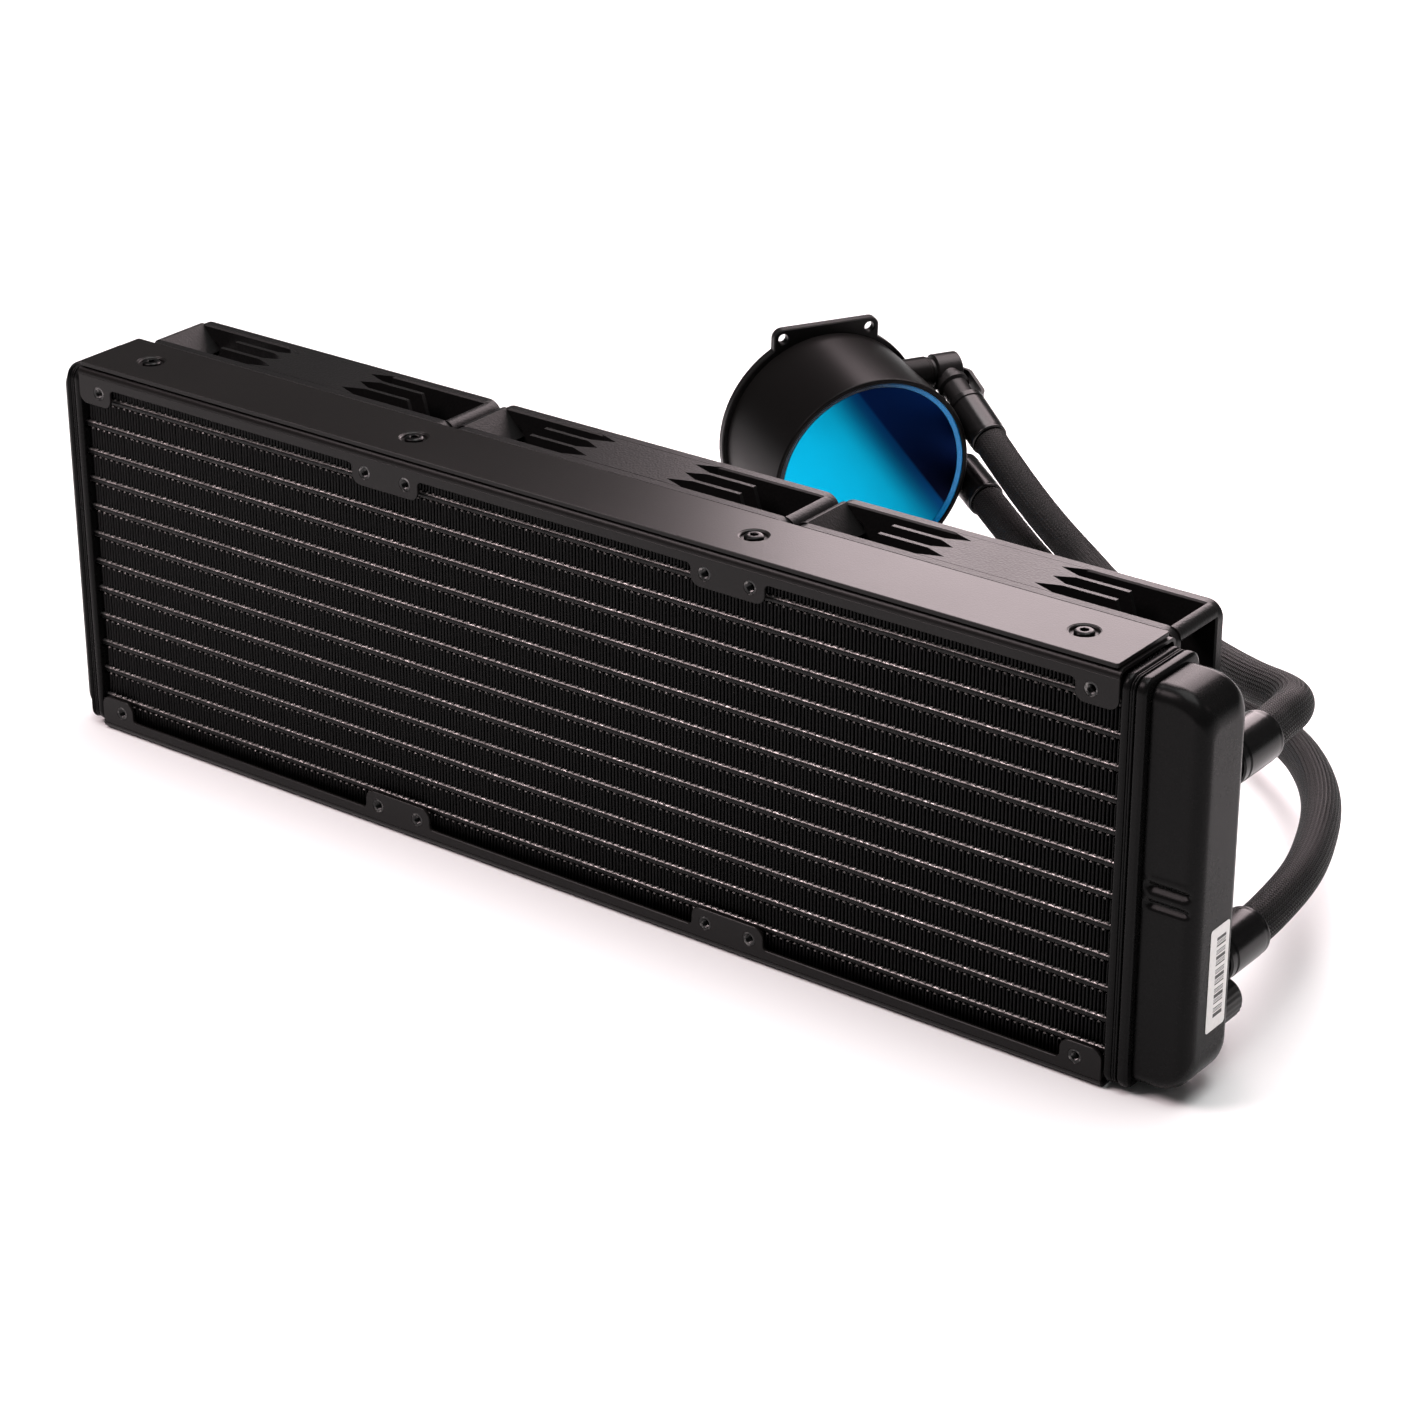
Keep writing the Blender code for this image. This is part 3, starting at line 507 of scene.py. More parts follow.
@dataclass(frozen=True)
class LappedCopper(Finish):
    """Bare copper with the rings of its lapping."""

    centre: Triple = (0.0, 0.0, 0.0)

    def brush(self, bench: Bench) -> None:
        """Mix copper with fine rings and slight tarnish.

        Args:
            bench: the material's bench.
        """
        sockets = {0: bench.place(), 1: self.centre}
        reach = bench.wire("ShaderNodeVectorMath", {"operation": "DISTANCE"}, sockets, "Value")
        ring = (reach * (2.0 * math.pi / 0.0004)).sine() * 0.5 + 0.5
        tarnish = bench.noise(80.0, 4.0)
        pale, dull = (0.82, 0.45, 0.30, 1.0), (0.50, 0.22, 0.13, 1.0)
        bench.set(Base_Color=bench.mix(tarnish * 0.8 + ring * 0.1, pale, dull))
        bench.set(Roughness=tarnish * 0.18 + ring * 0.06 + 0.16, Metallic=1.0)
        bench.bump(ring, 0.00001, 0.6)


@dataclass(frozen=True)
class Laminations(Finish):
    """Stacked and varnished motor sheets."""

    axis: Triple = (0.0, 1.0, 0.0)

    def brush(self, bench: Bench) -> None:
        """Mix varnished steel with the edges of its sheets.

        Args:
            bench: the material's bench.
        """
        sockets = {0: bench.place(), 1: self.axis}
        level = bench.wire("ShaderNodeVectorMath", {"operation": "DOT_PRODUCT"}, sockets, "Value")
        sheet = (level * (2.0 * math.pi / 0.0005)).sine() * 0.5 + 0.5
        patch = bench.noise(300.0, 3.0)
        bench.set(Base_Color=bench.mix(sheet * 0.6 + patch * 0.4, grey(0.03), grey(0.16, 0.2)))
        bench.set(Roughness=patch * 0.3 + 0.3, Metallic=0.8)
        bench.bump(sheet, 0.0001, 0.8)


@dataclass(frozen=True)
class PlainLabel(Finish):
    """A wordless paper label with a block of generic bars."""

    low: Pair = (0.0, 0.0)
    high: Pair = (1.0, 1.0)

    def brush(self, bench: Bench) -> None:
        """Mix off-white paper with bars across the middle of the label.

        Args:
            bench: the material's bench.
        """
        _, depth, height = bench.axes(bench.place())
        width = self.high[0] - self.low[0]
        tall = self.high[1] - self.low[1]
        across = (depth - self.low[0]) * (1.0 / width)
        up = (height - self.low[1]) * (1.0 / tall)
        fine = (up * 236.0 + (up * 67.0).sine() * 3.1).sine() > 0.05
        inside = (across > 0.34) * (1.0 - (across > 0.82)) * (up > 0.12) * (1.0 - (up > 0.90))
        paper = bench.noise(800.0, 3.0)
        white = bench.mix(paper, (0.72, 0.71, 0.69, 1.0), (0.86, 0.85, 0.83, 1.0))
        bench.set(Base_Color=bench.mix(fine * inside, white, (0.02, 0.02, 0.02, 1.0)))
        bench.set(Roughness=paper * 0.15 + 0.4)
        bench.bump(paper, 0.00002, 0.5)


@dataclass(frozen=True)
class PaleFloor(Finish):
    """A plain pale studio floor."""

    def brush(self, bench: Bench) -> None:
        """Mix a nearly white, matt surface.

        Args:
            bench: the material's bench.
        """
        cloud = bench.noise(1.5, 2.0)
        bench.set(Base_Color=bench.mix(cloud, (0.90, 0.90, 0.90, 1.0), (0.93, 0.93, 0.93, 1.0)))
        bench.set(Roughness=0.75)


# ------------------------------------------------------------------- mesh tools

def ring_points(radius: float, sides: int, centre: Pair = (0.0, 0.0)) -> list[Pair]:
    """Give a regular outline round a centre."""
    return arc(centre, radius, 0.0, 360.0, sides)[:-1]


def arc(centre: Pair, radius: float, start: float, end: float, steps: int) -> list[Pair]:
    """Give points along an arc.

    Args:
        centre: its centre.
        radius: its radius.
        start: the first point's angle in degrees.
        end: the last point's angle in degrees.
        steps: the number of steps between them.

    Returns:
        The points.
    """
    points = []
    for i in range(steps + 1):
        angle = math.radians(start + (end - start) * i / steps)
        points.append((centre[0] + radius * math.cos(angle), centre[1] + radius * math.sin(angle)))
    return points


def rounded(half: Pair, radius: float, steps: int = 6, centre: Pair = (0.0, 0.0)) -> list[Pair]:
    """Give a rectangle's outline with round corners.

    Args:
        half: half its width and half its height.
        radius: the corners' radius.
        steps: the steps round each corner.
        centre: its centre.

    Returns:
        The points.
    """
    points: list[Pair] = []
    for start, su, sv in ((0, 1, 1), (90, -1, 1), (180, -1, -1), (270, 1, -1)):
        corner = (centre[0] + su * (half[0] - radius), centre[1] + sv * (half[1] - radius))
        points += arc(corner, radius, start, start + 90, steps)
    return points


def facing(direction: Iterable[float], point: Iterable[float] = (0.0, 0.0, 0.0)) -> Matrix:
    """Turn +Z to a direction and move to a point.

    Args:
        direction: where +Z shall point.
        point: where the origin shall be.

    Returns:
        The matrix.
    """
    turn = Vector(direction).normalized().to_track_quat("Z", "Y").to_matrix().to_4x4()
    return Matrix.Translation(Vector(point)) @ turn


class Flat(Enum):
    """The plane in which a plate's outline is drawn, and the way it is thick."""

    XY = Matrix.Identity(4)
    XZ = Matrix(((1, 0, 0, 0), (0, 0, 1, 0), (0, 1, 0, 0), (0, 0, 0, 1)))
    YZ = Matrix(((0, 0, 1, 0), (1, 0, 0, 0), (0, 1, 0, 0), (0, 0, 0, 1)))


@dataclass
class Draft:
    """The corners and faces of one piece, in millimetres, before it is made."""

    corners: list[Vector] = field(default_factory=list)
    faces: list[tuple[int, ...]] = field(default_factory=list)

    def add(self, corners: Iterable, faces: Iterable, place: Matrix = STILL) -> None:
        """Add a shape.

        Args:
            corners: its corners.
            faces: its faces, as tuples of corner numbers.
            place: the matrix that moves it, in millimetres.
        """
        start = len(self.corners)
        self.corners += [place @ Vector(corner) for corner in corners]
        self.faces += [tuple(start + i for i in face) for face in faces]

    def rings(self, rings: Sequence, place: Matrix = STILL) -> None:
        """Skin a stack of rings of equal length, and close both ends.

        Args:
            rings: the rings, each a list of points.
            place: the matrix that moves them.
        """
        count = len(rings[0])
        faces = []
        for row in range(len(rings) - 1):
            low, high = row * count, (row + 1) * count
            for i in range(count):
                j = (i + 1) % count
                faces.append((low + i, low + j, high + j, high + i))
        faces.append(tuple(reversed(range(count))))
        faces.append(tuple(range((len(rings) - 1) * count, len(rings) * count)))
        self.add([point for ring in rings for point in ring], faces, place)

    def turned(self, profile: Sequence[Pair], place: Matrix = STILL, sides: int = 64) -> None:
        """Turn a closed profile round Z.

        Args:
            profile: its points, each a radius and a height.
            place: the matrix that moves it.
            sides: the steps round the turn.
        """
        corners: list[Triple] = []
        rows: list[list[int]] = []
        for radius, height in profile:
            if radius < 1e-6:
                rows.append([len(corners)])
                corners.append((0.0, 0.0, height))
            else:
                rows.append(list(range(len(corners), len(corners) + sides)))
                corners += [(x, y, height) for x, y in ring_points(radius, sides)]
        faces = []
        for low, high in zip(rows, rows[1:] + rows[:1]):
            for k in range(sides):
                quad = (low[k % len(low)], low[(k + 1) % len(low)])
                quad += (high[(k + 1) % len(high)], high[k % len(high)])
                face = tuple(dict.fromkeys(quad))
                if len(face) > 2:
                    faces.append(face)
        self.add(corners, faces, place)

    def plate(self, outline: Sequence[Pair], holes: Sequence[Sequence[Pair]], low: float,
              high: float, edge: float, place: Matrix = STILL, steps: int = 0) -> None:
        """Cut a plate from an outline with holes, with broken edges.

        Args:
            outline: the outer edge.
            holes: the inner edges.
            low: the height of its lower face.
            high: the height of its upper face.
            edge: the width of the broken edge.
            place: the matrix that moves it.
            steps: how many times the broken edge is rounded.
        """
        curve = bpy.data.curves.new("plate", "CURVE")
        curve.dimensions = "2D"
        curve.fill_mode = "BOTH"
        curve.extrude = (high - low) / 2.0 - edge
        curve.bevel_depth = edge
        curve.bevel_resolution = steps
        curve.offset = -edge
        for points in [outline, *holes]:
            line = curve.splines.new("POLY")
            line.points.add(len(points) - 1)
            line.use_cyclic_u = True
            for node, (u, v) in zip(line.points, points):
                node.co = (u, v, 0.0, 1.0)
        holder = bpy.data.objects.new("plate", curve)
        bpy.context.scene.collection.objects.link(holder)
        graph = bpy.context.evaluated_depsgraph_get()
        mesh = bpy.data.meshes.new_from_object(holder.evaluated_get(graph))
        middle = Matrix.Translation((0.0, 0.0, (low + high) / 2.0))
        faces = [tuple(face.vertices) for face in mesh.polygons]
        self.add([v.co for v in mesh.vertices], faces, place @ middle)
        bpy.data.objects.remove(holder, do_unlink=True)
        bpy.data.curves.remove(curve)
        bpy.data.meshes.remove(mesh)

    def mesh(self, name: str, crease: float) -> bpy.types.Mesh:
        """Make the mesh in metres, shaded smooth but for its creases.

        Args:
            name: the mesh's name.
            crease: the angle in degrees above which an edge stays sharp.

        Returns:
            The mesh.
        """
        mesh = bpy.data.meshes.new(name)
        mesh.from_pydata([corner * MM for corner in self.corners], [], self.faces)
        shaped = bmesh.new()
        shaped.from_mesh(mesh)
        bmesh.ops.remove_doubles(shaped, verts=shaped.verts, dist=0.000002)
        bmesh.ops.recalc_face_normals(shaped, faces=shaped.faces)
        shaped.to_mesh(mesh)
        shaped.free()
        mesh.shade_smooth()
        mesh.set_sharp_from_angle(angle=math.radians(crease))
        return mesh

    def make(self, name: str, finish: Finish, nodes: Sequence[str] = (), body: str = COOLER,
             crease: float = 32.0) -> bpy.types.Object:
        """Make the piece, dress it and set it on its body.

        Args:
            name: the piece's name.
            finish: its finish.
            nodes: the solids that it stands for.
            body: the body that it rides on.
            crease: the angle in degrees above which an edge stays sharp.

        Returns:
            The piece.
        """
        piece = bpy.data.objects.new(name, self.mesh(name, crease))
        bpy.context.scene.collection.objects.link(piece)
        piece.data.materials.append(finish.mix())
        weigh = piece.modifiers.new("flat faces", "WEIGHTED_NORMAL")
        weigh.keep_sharp = True
        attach(piece, body)
        if nodes:
            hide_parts(*nodes)
        LOG.info("%s: %d faces on %s", name, len(piece.data.polygons), body)
        return piece


def dress(node: str, finish: Finish) -> None:
    """Give a solid that keeps its shape a better finish.

    Args:
        node: the solid's name.
        finish: its finish.
    """
    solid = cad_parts[node]
    solid.data.materials.clear()
    solid.data.materials.append(finish.mix())
    LOG.info("%s: dressed", node)


def recess(sides: int, corners: int, radius: float) -> list[Pair]:
    """Give a socket's outline with as many points as the ring round it.

    Args:
        sides: the number of points.
        corners: the number of the socket's corners.
        radius: half its width across the flats.

    Returns:
        The points.
    """
    points = []
    half = math.pi / corners
    for i in range(sides):
        angle = 2.0 * math.pi * i / sides
        off = angle % (2.0 * half) - half
        reach = radius / math.cos(off)
        points.append((reach * math.cos(angle), reach * math.sin(angle)))
    return points


def socket_head(draft: Draft, radius: float, height: float, key: float, place: Matrix) -> None:
    """Add a low round screw head with a six-sided socket.

    Args:
        draft: the piece that it joins.
        radius: the head's radius.
        height: the head's height.
        key: half the socket's width across its flats.
        place: the matrix that seats it.
    """
    sides = 48
    levels = [(radius, -0.6), (radius, 0.25), (radius * 0.96, height * 0.55),
              (radius * 0.84, height * 0.85), (radius * 0.68, height), (key * 1.45, height)]
    rings = [[(x, y, z) for x, y in ring_points(r, sides)] for r, z in levels]
    for reach, depth in ((key + 0.16, height), (key, height - 0.16), (key, height - 0.95)):
        rings.append([(x, y, depth) for x, y in recess(sides, 6, reach)])
    draft.rings(rings, place)


# ------------------------------------------------------------------------ studio

@dataclass
class Studio:
    """The camera, the floor and the soft lights."""

    eye: Triple = (0.6169, -0.7600, 0.5154)
    right: Triple = (0.79803, 0.60261, -0.00149)
    down: Triple = (0.25596, -0.34120, -0.90447)
    lens: float = 98.43
    floor_half: float = 6.0

    def build(self) -> None:
        """Set up the camera, the floor, the world and the lights."""
        self._camera()
        self._floor()
        self._world()
        self._lights()

    def _camera(self) -> None:
        """Stand the camera where it sees the cooler from its front right."""
        lens = bpy.data.cameras.new("camera")
        lens.lens = self.lens
        lens.sensor_width = 36.0
        lens.clip_start = 0.01
        lens.clip_end = 60.0
        camera = bpy.data.objects.new("camera", lens)
        bpy.context.scene.collection.objects.link(camera)
        right = Vector(self.right).normalized()
        up = -Vector(self.down)
        up = (up - right * up.dot(right)).normalized()
        back = right.cross(up)
        camera.matrix_world = Matrix.Translation(self.eye) @ Matrix((right, up, back)).transposed().to_4x4()
        bpy.context.scene.camera = camera

    def _floor(self) -> None:
        """Lay the floor, with a rim so that it isn't one bare quad."""
        draft = Draft()
        half = self.floor_half / MM
        rings = [[(x, y, z) for x, y in ring_points(reach, 96)] for reach, z in
                 ((half, -40.0), (half, 0.0), (half * 0.5, 0.0), (half * 0.1, 0.0))]
        draft.rings(rings)
        floor = bpy.data.objects.new("floor", draft.mesh("floor", 30.0))
        floor.data.materials.append(PaleFloor("pale floor", "").mix())
        bpy.context.scene.collection.objects.link(floor)

    def _world(self) -> None:
        """Fill the studio with an even pale light."""
        world = bpy.data.worlds.new("studio")
        world.use_nodes = True
        world.node_tree.nodes["Background"].inputs["Color"].default_value = (1.0, 1.0, 1.0, 1.0)
        world.node_tree.nodes["Background"].inputs["Strength"].default_value = 0.10
        bpy.context.scene.world = world
        bpy.context.scene.view_settings.view_transform = "Standard"

    def _lights(self) -> None:
        """Hang the softboxes: one over the floor, one behind, one at the front left."""
        self._softbox("overhead", (0.2, 0.5, 4.2), (0.0, 0.3, 0.0), 3.2, 205.0)
        self._softbox("back", (-0.02, 0.37, 0.34), (0.12, 0.0, 0.12), 0.34, 3.1)
        self._softbox("front left", (-0.62, -0.66, 1.15), (0.10, 0.0, 0.08), 0.6, 15.0)
        self._softbox("right", (1.3, 1.1, 1.0), (0.15, 0.1, 0.05), 0.4, 0.8)

    def _softbox(self, name: str, spot: Triple, aim: Triple, size: float, power: float) -> None:
        """Hang one square softbox.

        Args:
            name: the light's name.
            spot: where it hangs.
            aim: the point that it faces.
            size: its side.
            power: its power in watts.
        """
        light = bpy.data.lights.new(name, "AREA")
        light.size = size
        light.energy = power
        light.color = (1.0, 0.84, 0.865) if size < 1.0 else (1.0, 1.0, 1.0)
        lamp = bpy.data.objects.new(name, light)
        bpy.context.scene.collection.objects.link(lamp)
        lamp.matrix_world = facing(Vector(spot) - Vector(aim), spot)
        lamp.visible_camera = False


# ------------------------------------------------------------------------- hoses

@dataclass
class Pump:
    """The pump head's own frame: x to the hose side, y up, z out to the mirror."""

    tilt: float = math.radians(4.7)
    turn: float = math.radians(-29.65)
    face: Triple = (-58.5, 226.4, 35.7)
    length: float = 43.0
    elbow_out: float = 41.5
    elbow_height: float = 10.0

    def place(self) -> Matrix:
        """Place the pump's own frame in the model.

        Returns:
            The matrix, in millimetres.
        """
        level = math.cos(self.tilt)
        out = Vector((level * math.cos(self.turn), level * math.sin(self.turn), -math.sin(self.tilt)))
        side = Vector((-math.sin(self.turn), math.cos(self.turn), 0.0))
        turn = Matrix((side, out.cross(side), out)).transposed().to_4x4()
        return Matrix.Translation(Vector(self.face) - out * self.length) @ turn

    def arm(self, height: float, tilt: float, distance: float) -> tuple[Vector, Vector]:
        """Give a point on an elbow's hose axis.

        Args:
            height: the elbow's height on the pump.
            tilt: how far its arm drops.
            distance: how far along the arm the point is.

        Returns:
            The point and the arm's direction, in the model.
        """
        way = Vector((0.0, -math.sin(tilt), math.cos(tilt)))
        local = Vector((self.elbow_out, height, self.elbow_height)) + way * distance
        return self.place() @ local, self.place().to_3x3() @ way


@dataclass
class Hose:
    """One braided hose on its route, with the ferrules at its ends."""

    name: str
    port: Triple
    elbow: Pair
    route: Sequence[Triple]
    braid: Braid
    radius: float = 5.75
    relief: float = 0.4
    yarns: int = 32
    sides: int = 96
    ring_step: float = 0.377
    sleeve: float = 20.3

    def _curve(self, pump: Pump) -> np.ndarray:
        """Give fine points along the smooth curve through the route.

        Args:
            pump: the pump head that the hose runs to.

        Returns:
            The points, in millimetres.
        """
        last, way = pump.arm(self.elbow[0], self.elbow[1], ARM_END + self.sleeve)
        knots = np.array([self.port, *self.route, tuple(last)])
        spans = np.linalg.norm(np.diff(knots, axis=0), axis=1)
        count = len(knots)
        system, known = np.zeros((count, count)), np.zeros((count, 3))
        system[0, 0] = system[-1, -1] = 1.0
        known[0], known[-1] = (0.0, 1.0, 0.0), -np.array(way)
        for i in range(1, count - 1):
            before, after = spans[i - 1], spans[i]
            system[i, i - 1: i + 2] = (after, 2.0 * (before + after), before)
            rise = (knots[i] - knots[i - 1]) / before * after
            known[i] = 3.0 * (rise + (knots[i + 1] - knots[i]) / after * before)
        slopes = np.linalg.solve(system, known)
        fine = []
        for i in range(count - 1):
            for b in np.linspace(0.0, 1.0, 60, endpoint=i == count - 2):
                a = 1.0 - b
                point = knots[i] * a * a * (1 + 2 * b) + knots[i + 1] * b * b * (1 + 2 * a)
                fine.append(point + spans[i] * (slopes[i] * b * a * a - slopes[i + 1] * a * b * b))
        return np.array(fine)

    def build(self, pump: Pump, ferrules: Sequence[bpy.types.Object]) -> None:
        """Args:
            pump: the pump head that the hose runs to.
            ferrules: the two ferrules that hold its ends; not used.
        """
        fine = self._curve(pump)
        run = np.concatenate(([0.0], np.cumsum(np.linalg.norm(np.diff(fine, axis=0), axis=1))))
        count = round(run[-1] / self.ring_step) + 1
        marks = np.linspace(0.0, run[-1], count)
        line = np.stack([np.interp(marks, run, fine[:, k]) for k in range(3)], axis=1)
        piece = self._weave(line)
        path = line[::12].tolist() + [line[-1].tolist()]
        path = [[value * MM for value in point] for point in path]
        2.0 * self.radius * MM

    def _weave(self, line: np.ndarray) -> bpy.types.Object:
        """Skin the line with raised yarns.

        Args:
            line: the centreline, one point for each ring.

        Returns:
            The sleeve.
        """
        ways = np.gradient(line, axis=0)
        ways /= np.linalg.norm(ways, axis=1)[:, None]
        side = np.cross(ways[0], (0.0, 0.0, 1.0))
        rings = []
        for index, (point, way) in enumerate(zip(line, ways)):
            side = side - way * side.dot(way)
            side /= np.linalg.norm(side)
            lift = np.cross(way, side)
            turns = np.arange(self.sides) / self.sides
            around = turns * self.yarns
            along = index * self.yarns / self.sides
            reach = self.radius - self.relief * (1.0 - self._height(around + along, around - along))
            angle = turns * 2.0 * np.pi
            ring = point + np.outer(np.cos(angle) * reach, side) + np.outer(np.sin(angle) * reach, lift)
            rings.append(ring)
        mesh = bpy.data.meshes.new(self.name)
        count = len(rings)
        corners = np.concatenate(rings) * MM
        faces = []
        for row in range(count - 1):
            for k in range(self.sides):
                nxt = (k + 1) % self.sides
                faces.append((row * self.sides + k, row * self.sides + nxt,
                              (row + 1) * self.sides + nxt, (row + 1) * self.sides + k))
        faces.append(tuple(reversed(range(self.sides))))
        faces.append(tuple(range((count - 1) * self.sides, count * self.sides)))
        mesh.from_pydata(corners.tolist(), [], faces)
        layer = mesh.uv_layers.new(name="lay")
        step = self.yarns / self.sides
        uv = np.zeros((len(mesh.loops), 2), np.float32)
        quads = (count - 1) * self.sides
        rows = np.repeat(np.arange(count - 1), self.sides)
        cols = np.tile(np.arange(self.sides), count - 1)
        for corner, (dc, dr) in enumerate(((0, 0), (1, 0), (1, 1), (0, 1))):
            uv[corner:quads * 4:4, 0] = (cols + dc) * step
            uv[corner:quads * 4:4, 1] = (rows + dr) * step
        layer.data.foreach_set("uv", uv.ravel())
        mesh.shade_smooth()
        mesh.materials.append(self.braid.mix())
        sleeve = bpy.data.objects.new(f"{self.name}_sleeve", mesh)
        bpy.context.scene.collection.objects.link(sleeve)
        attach(sleeve, COOLER)
        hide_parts(self.name)
        LOG.info("%s: %d rings", sleeve.name, count)
        return sleeve

    @staticmethod
    def _height(right: np.ndarray, left: np.ndarray) -> np.ndarray:
        """Give the yarns' height where two families cross.

        Args:
            right: places across the first family.
            left: places across the second family.

        Returns:
            The heights from 0 to 1.
        """
        over = (np.floor(right + 1e-6) + np.floor(left + 1e-6)) % 2 > 0.5
        first, second = np.sin(np.pi * (right % 1.0)), np.sin(np.pi * (left % 1.0))
        return np.where(over, first * (0.6 + 0.4 * second), second * (0.6 + 0.4 * first))


@dataclass
class Ferrules:
    """The four crimped sleeves at the hoses' ends."""

    finish: Coating
    length: float = 20.0
    bore: float = 4.2
    barb: float = 13.0

    def one(self, node: str, radius: float, place: Matrix) -> bpy.types.Object:
        """Turn one ferrule: a stop collar, a long crimp and a rolled mouth.

        Args:
            node: the solid that it stands for.
            radius: its outer radius.
            place: the matrix that seats it.

        Returns:
            The ferrule.
        """
        end = self.length
        profile = [(self.bore, 0.0), (radius - 0.5, 0.0), (radius, 0.5), (radius, 2.4)]
        profile += [(radius - 0.35, 2.8), (radius - 0.35, 3.3), (radius, 3.7), (radius, end - 3.0)]
        profile += [(radius - 0.25, end - 2.0), (radius - 0.1, end - 1.2)]
        profile += arc((radius - 0.7, end - 0.6), 0.6, 0, 90, 4)
        profile += [(5.9, end), (5.9, end - 0.4), (0.0, end - 0.4)]
        profile += [(0.0, self.barb), (self.bore, self.barb)]
        draft = Draft()
        draft.turned(profile, place, 72)
        return draft.make(f"{node}_fine", self.finish, [node])


# ------------------------------------------------------------------ radiator core

@dataclass
class Core:
    """The flat tubes and the folded fins between them."""

    fins: FinStock
    tubes: GlintPaintedTube
    rows: int = 12
    pitch: float = 9.0
    middle: float = 59.6
    tube_thick: float = 2.0
    tube_half: float = 184.4
    depth: float = 11.0
    fin_depth: float = 10.75
    fin_half: float = 179.6
    fold: float = 1.15
    sheet: float = 0.16
    bend: float = 0.42
    bead: Triple = (0.5, 0.35, 0.36)
    end_low: float = 1.3

    def height(self, index: int) -> float:
        """Give the height of a tube's middle."""
        return self.middle + (index - (self.rows + 1) / 2.0) * self.pitch

    def build(self) -> None:
        """Build every tube with the fins above it, and the lowest fins."""
        for index in range(1, self.rows + 1):
            node = f"core_row_{index:02d}"
            low = self.height(index) + self.tube_thick / 2.0
            self._fins(f"{node}_fins", low, low + self.pitch - self.tube_thick, index, ())
            tube = Draft()
            self._tube(tube, self.height(index))
            self._beads(tube, self.height(index))
            tube.make(f"{node}_tube", self.tubes, [node], crease=50.0)
        top = self.height(1) - self.tube_thick / 2.0
        self._fins("core_end_fin_fine", self.end_low, top, 0, ("core_end_fin",))

    def _tube(self, draft: Draft, height: float) -> None:
        """Draw one flat tube with its round noses.

        Args:
            draft: the tube.
            height: the height of its middle.
        """
        radius = self.tube_thick / 2.0
        reach = self.depth - radius
        outline = arc((reach, height), radius, -90, 90, 8) + arc((-reach, height), radius, 90, 270, 8)
        draft.plate(outline, [], -self.tube_half, self.tube_half, 0.12, Flat.YZ.value)

    def _beads(self, draft: Draft, height: float) -> None:
        """Add the braze fillets where the fins' bends meet the tube's noses.

        Args:
            draft: the tube.
            height: the height of the tube's middle.
        """
        count = int(2.0 * self.fin_half / self.fold)
        half = self.tube_thick / 2.0
        long, deep, tall = self.bead
        faces = [(0, 2, 4), (2, 1, 4), (1, 3, 4), (3, 0, 4), (2, 0, 5), (1, 2, 5), (3, 1, 5), (0, 3, 5)]
        for side in (-1, 1):
            for i in range(count):
                up = 1 if i % 2 else -1
                x = (i - (count - 1) / 2.0) * self.fold
                y, z = side * (self.fin_depth - 0.02), height + up * (half + 0.12)
                corners = [(x - long, y, z), (x + long, y, z), (x, y - deep, z), (x, y + deep, z),
                           (x, y, z + tall), (x, y, z - tall)]
                draft.add(corners, faces)

    def _fins(self, name: str, low: float, high: float, seed: int, nodes: Sequence[str]) -> None:
        """Fold one strip of fin stock between two heights.

        Args:
            name: the piece's name.
            low: the height of its lower bends.
            high: the height of its upper bends.
            seed: the seed of its slight unevenness.
            nodes: the solids that it stands for.
        """
        chance = random.Random(seed)
        line: list[Pair] = []
        count = int(2.0 * self.fin_half / self.fold)
        start = -count * self.fold / 2.0
        for i in range(count + 1):
            x = start + i * self.fold + chance.uniform(-0.05, 0.05)
            up = i % 2 == 0
            near, far = (low, high) if up else (high, low)
            bend = self.bend if up else -self.bend
            line += [(x, near + bend), (x + chance.uniform(-0.03, 0.03), far - bend)]
            if i < count:
                line += [(x + self.fold * 0.2, far - bend * 0.25), (x + self.fold * 0.8, far - bend * 0.25)]
        flat = np.array(line)
        slope = np.gradient(flat, axis=0)
        normal = np.stack([-slope[:, 1], slope[:, 0]], axis=1)
        normal /= np.linalg.norm(normal, axis=1)[:, None]
        half = normal * self.sheet / 2.0
        depth = self.fin_depth
        corners = [(x, y, z) for offset, y in ((half, -depth), (half, depth), (-half, depth), (-half, -depth))
                   for x, z in flat + offset]
        size = len(flat)
        faces = []
        for side in range(4):
            a, b = side * size, (side + 1) % 4 * size
            faces += [(a + i, a + i + 1, b + i + 1, b + i) for i in range(size - 1)]
        for i in (0, size - 1):
            faces.append((i, size + i, 2 * size + i, 3 * size + i))
        draft = Draft()
        draft.add(corners, faces)
        draft.make(name, self.fins, nodes, crease=60.0)


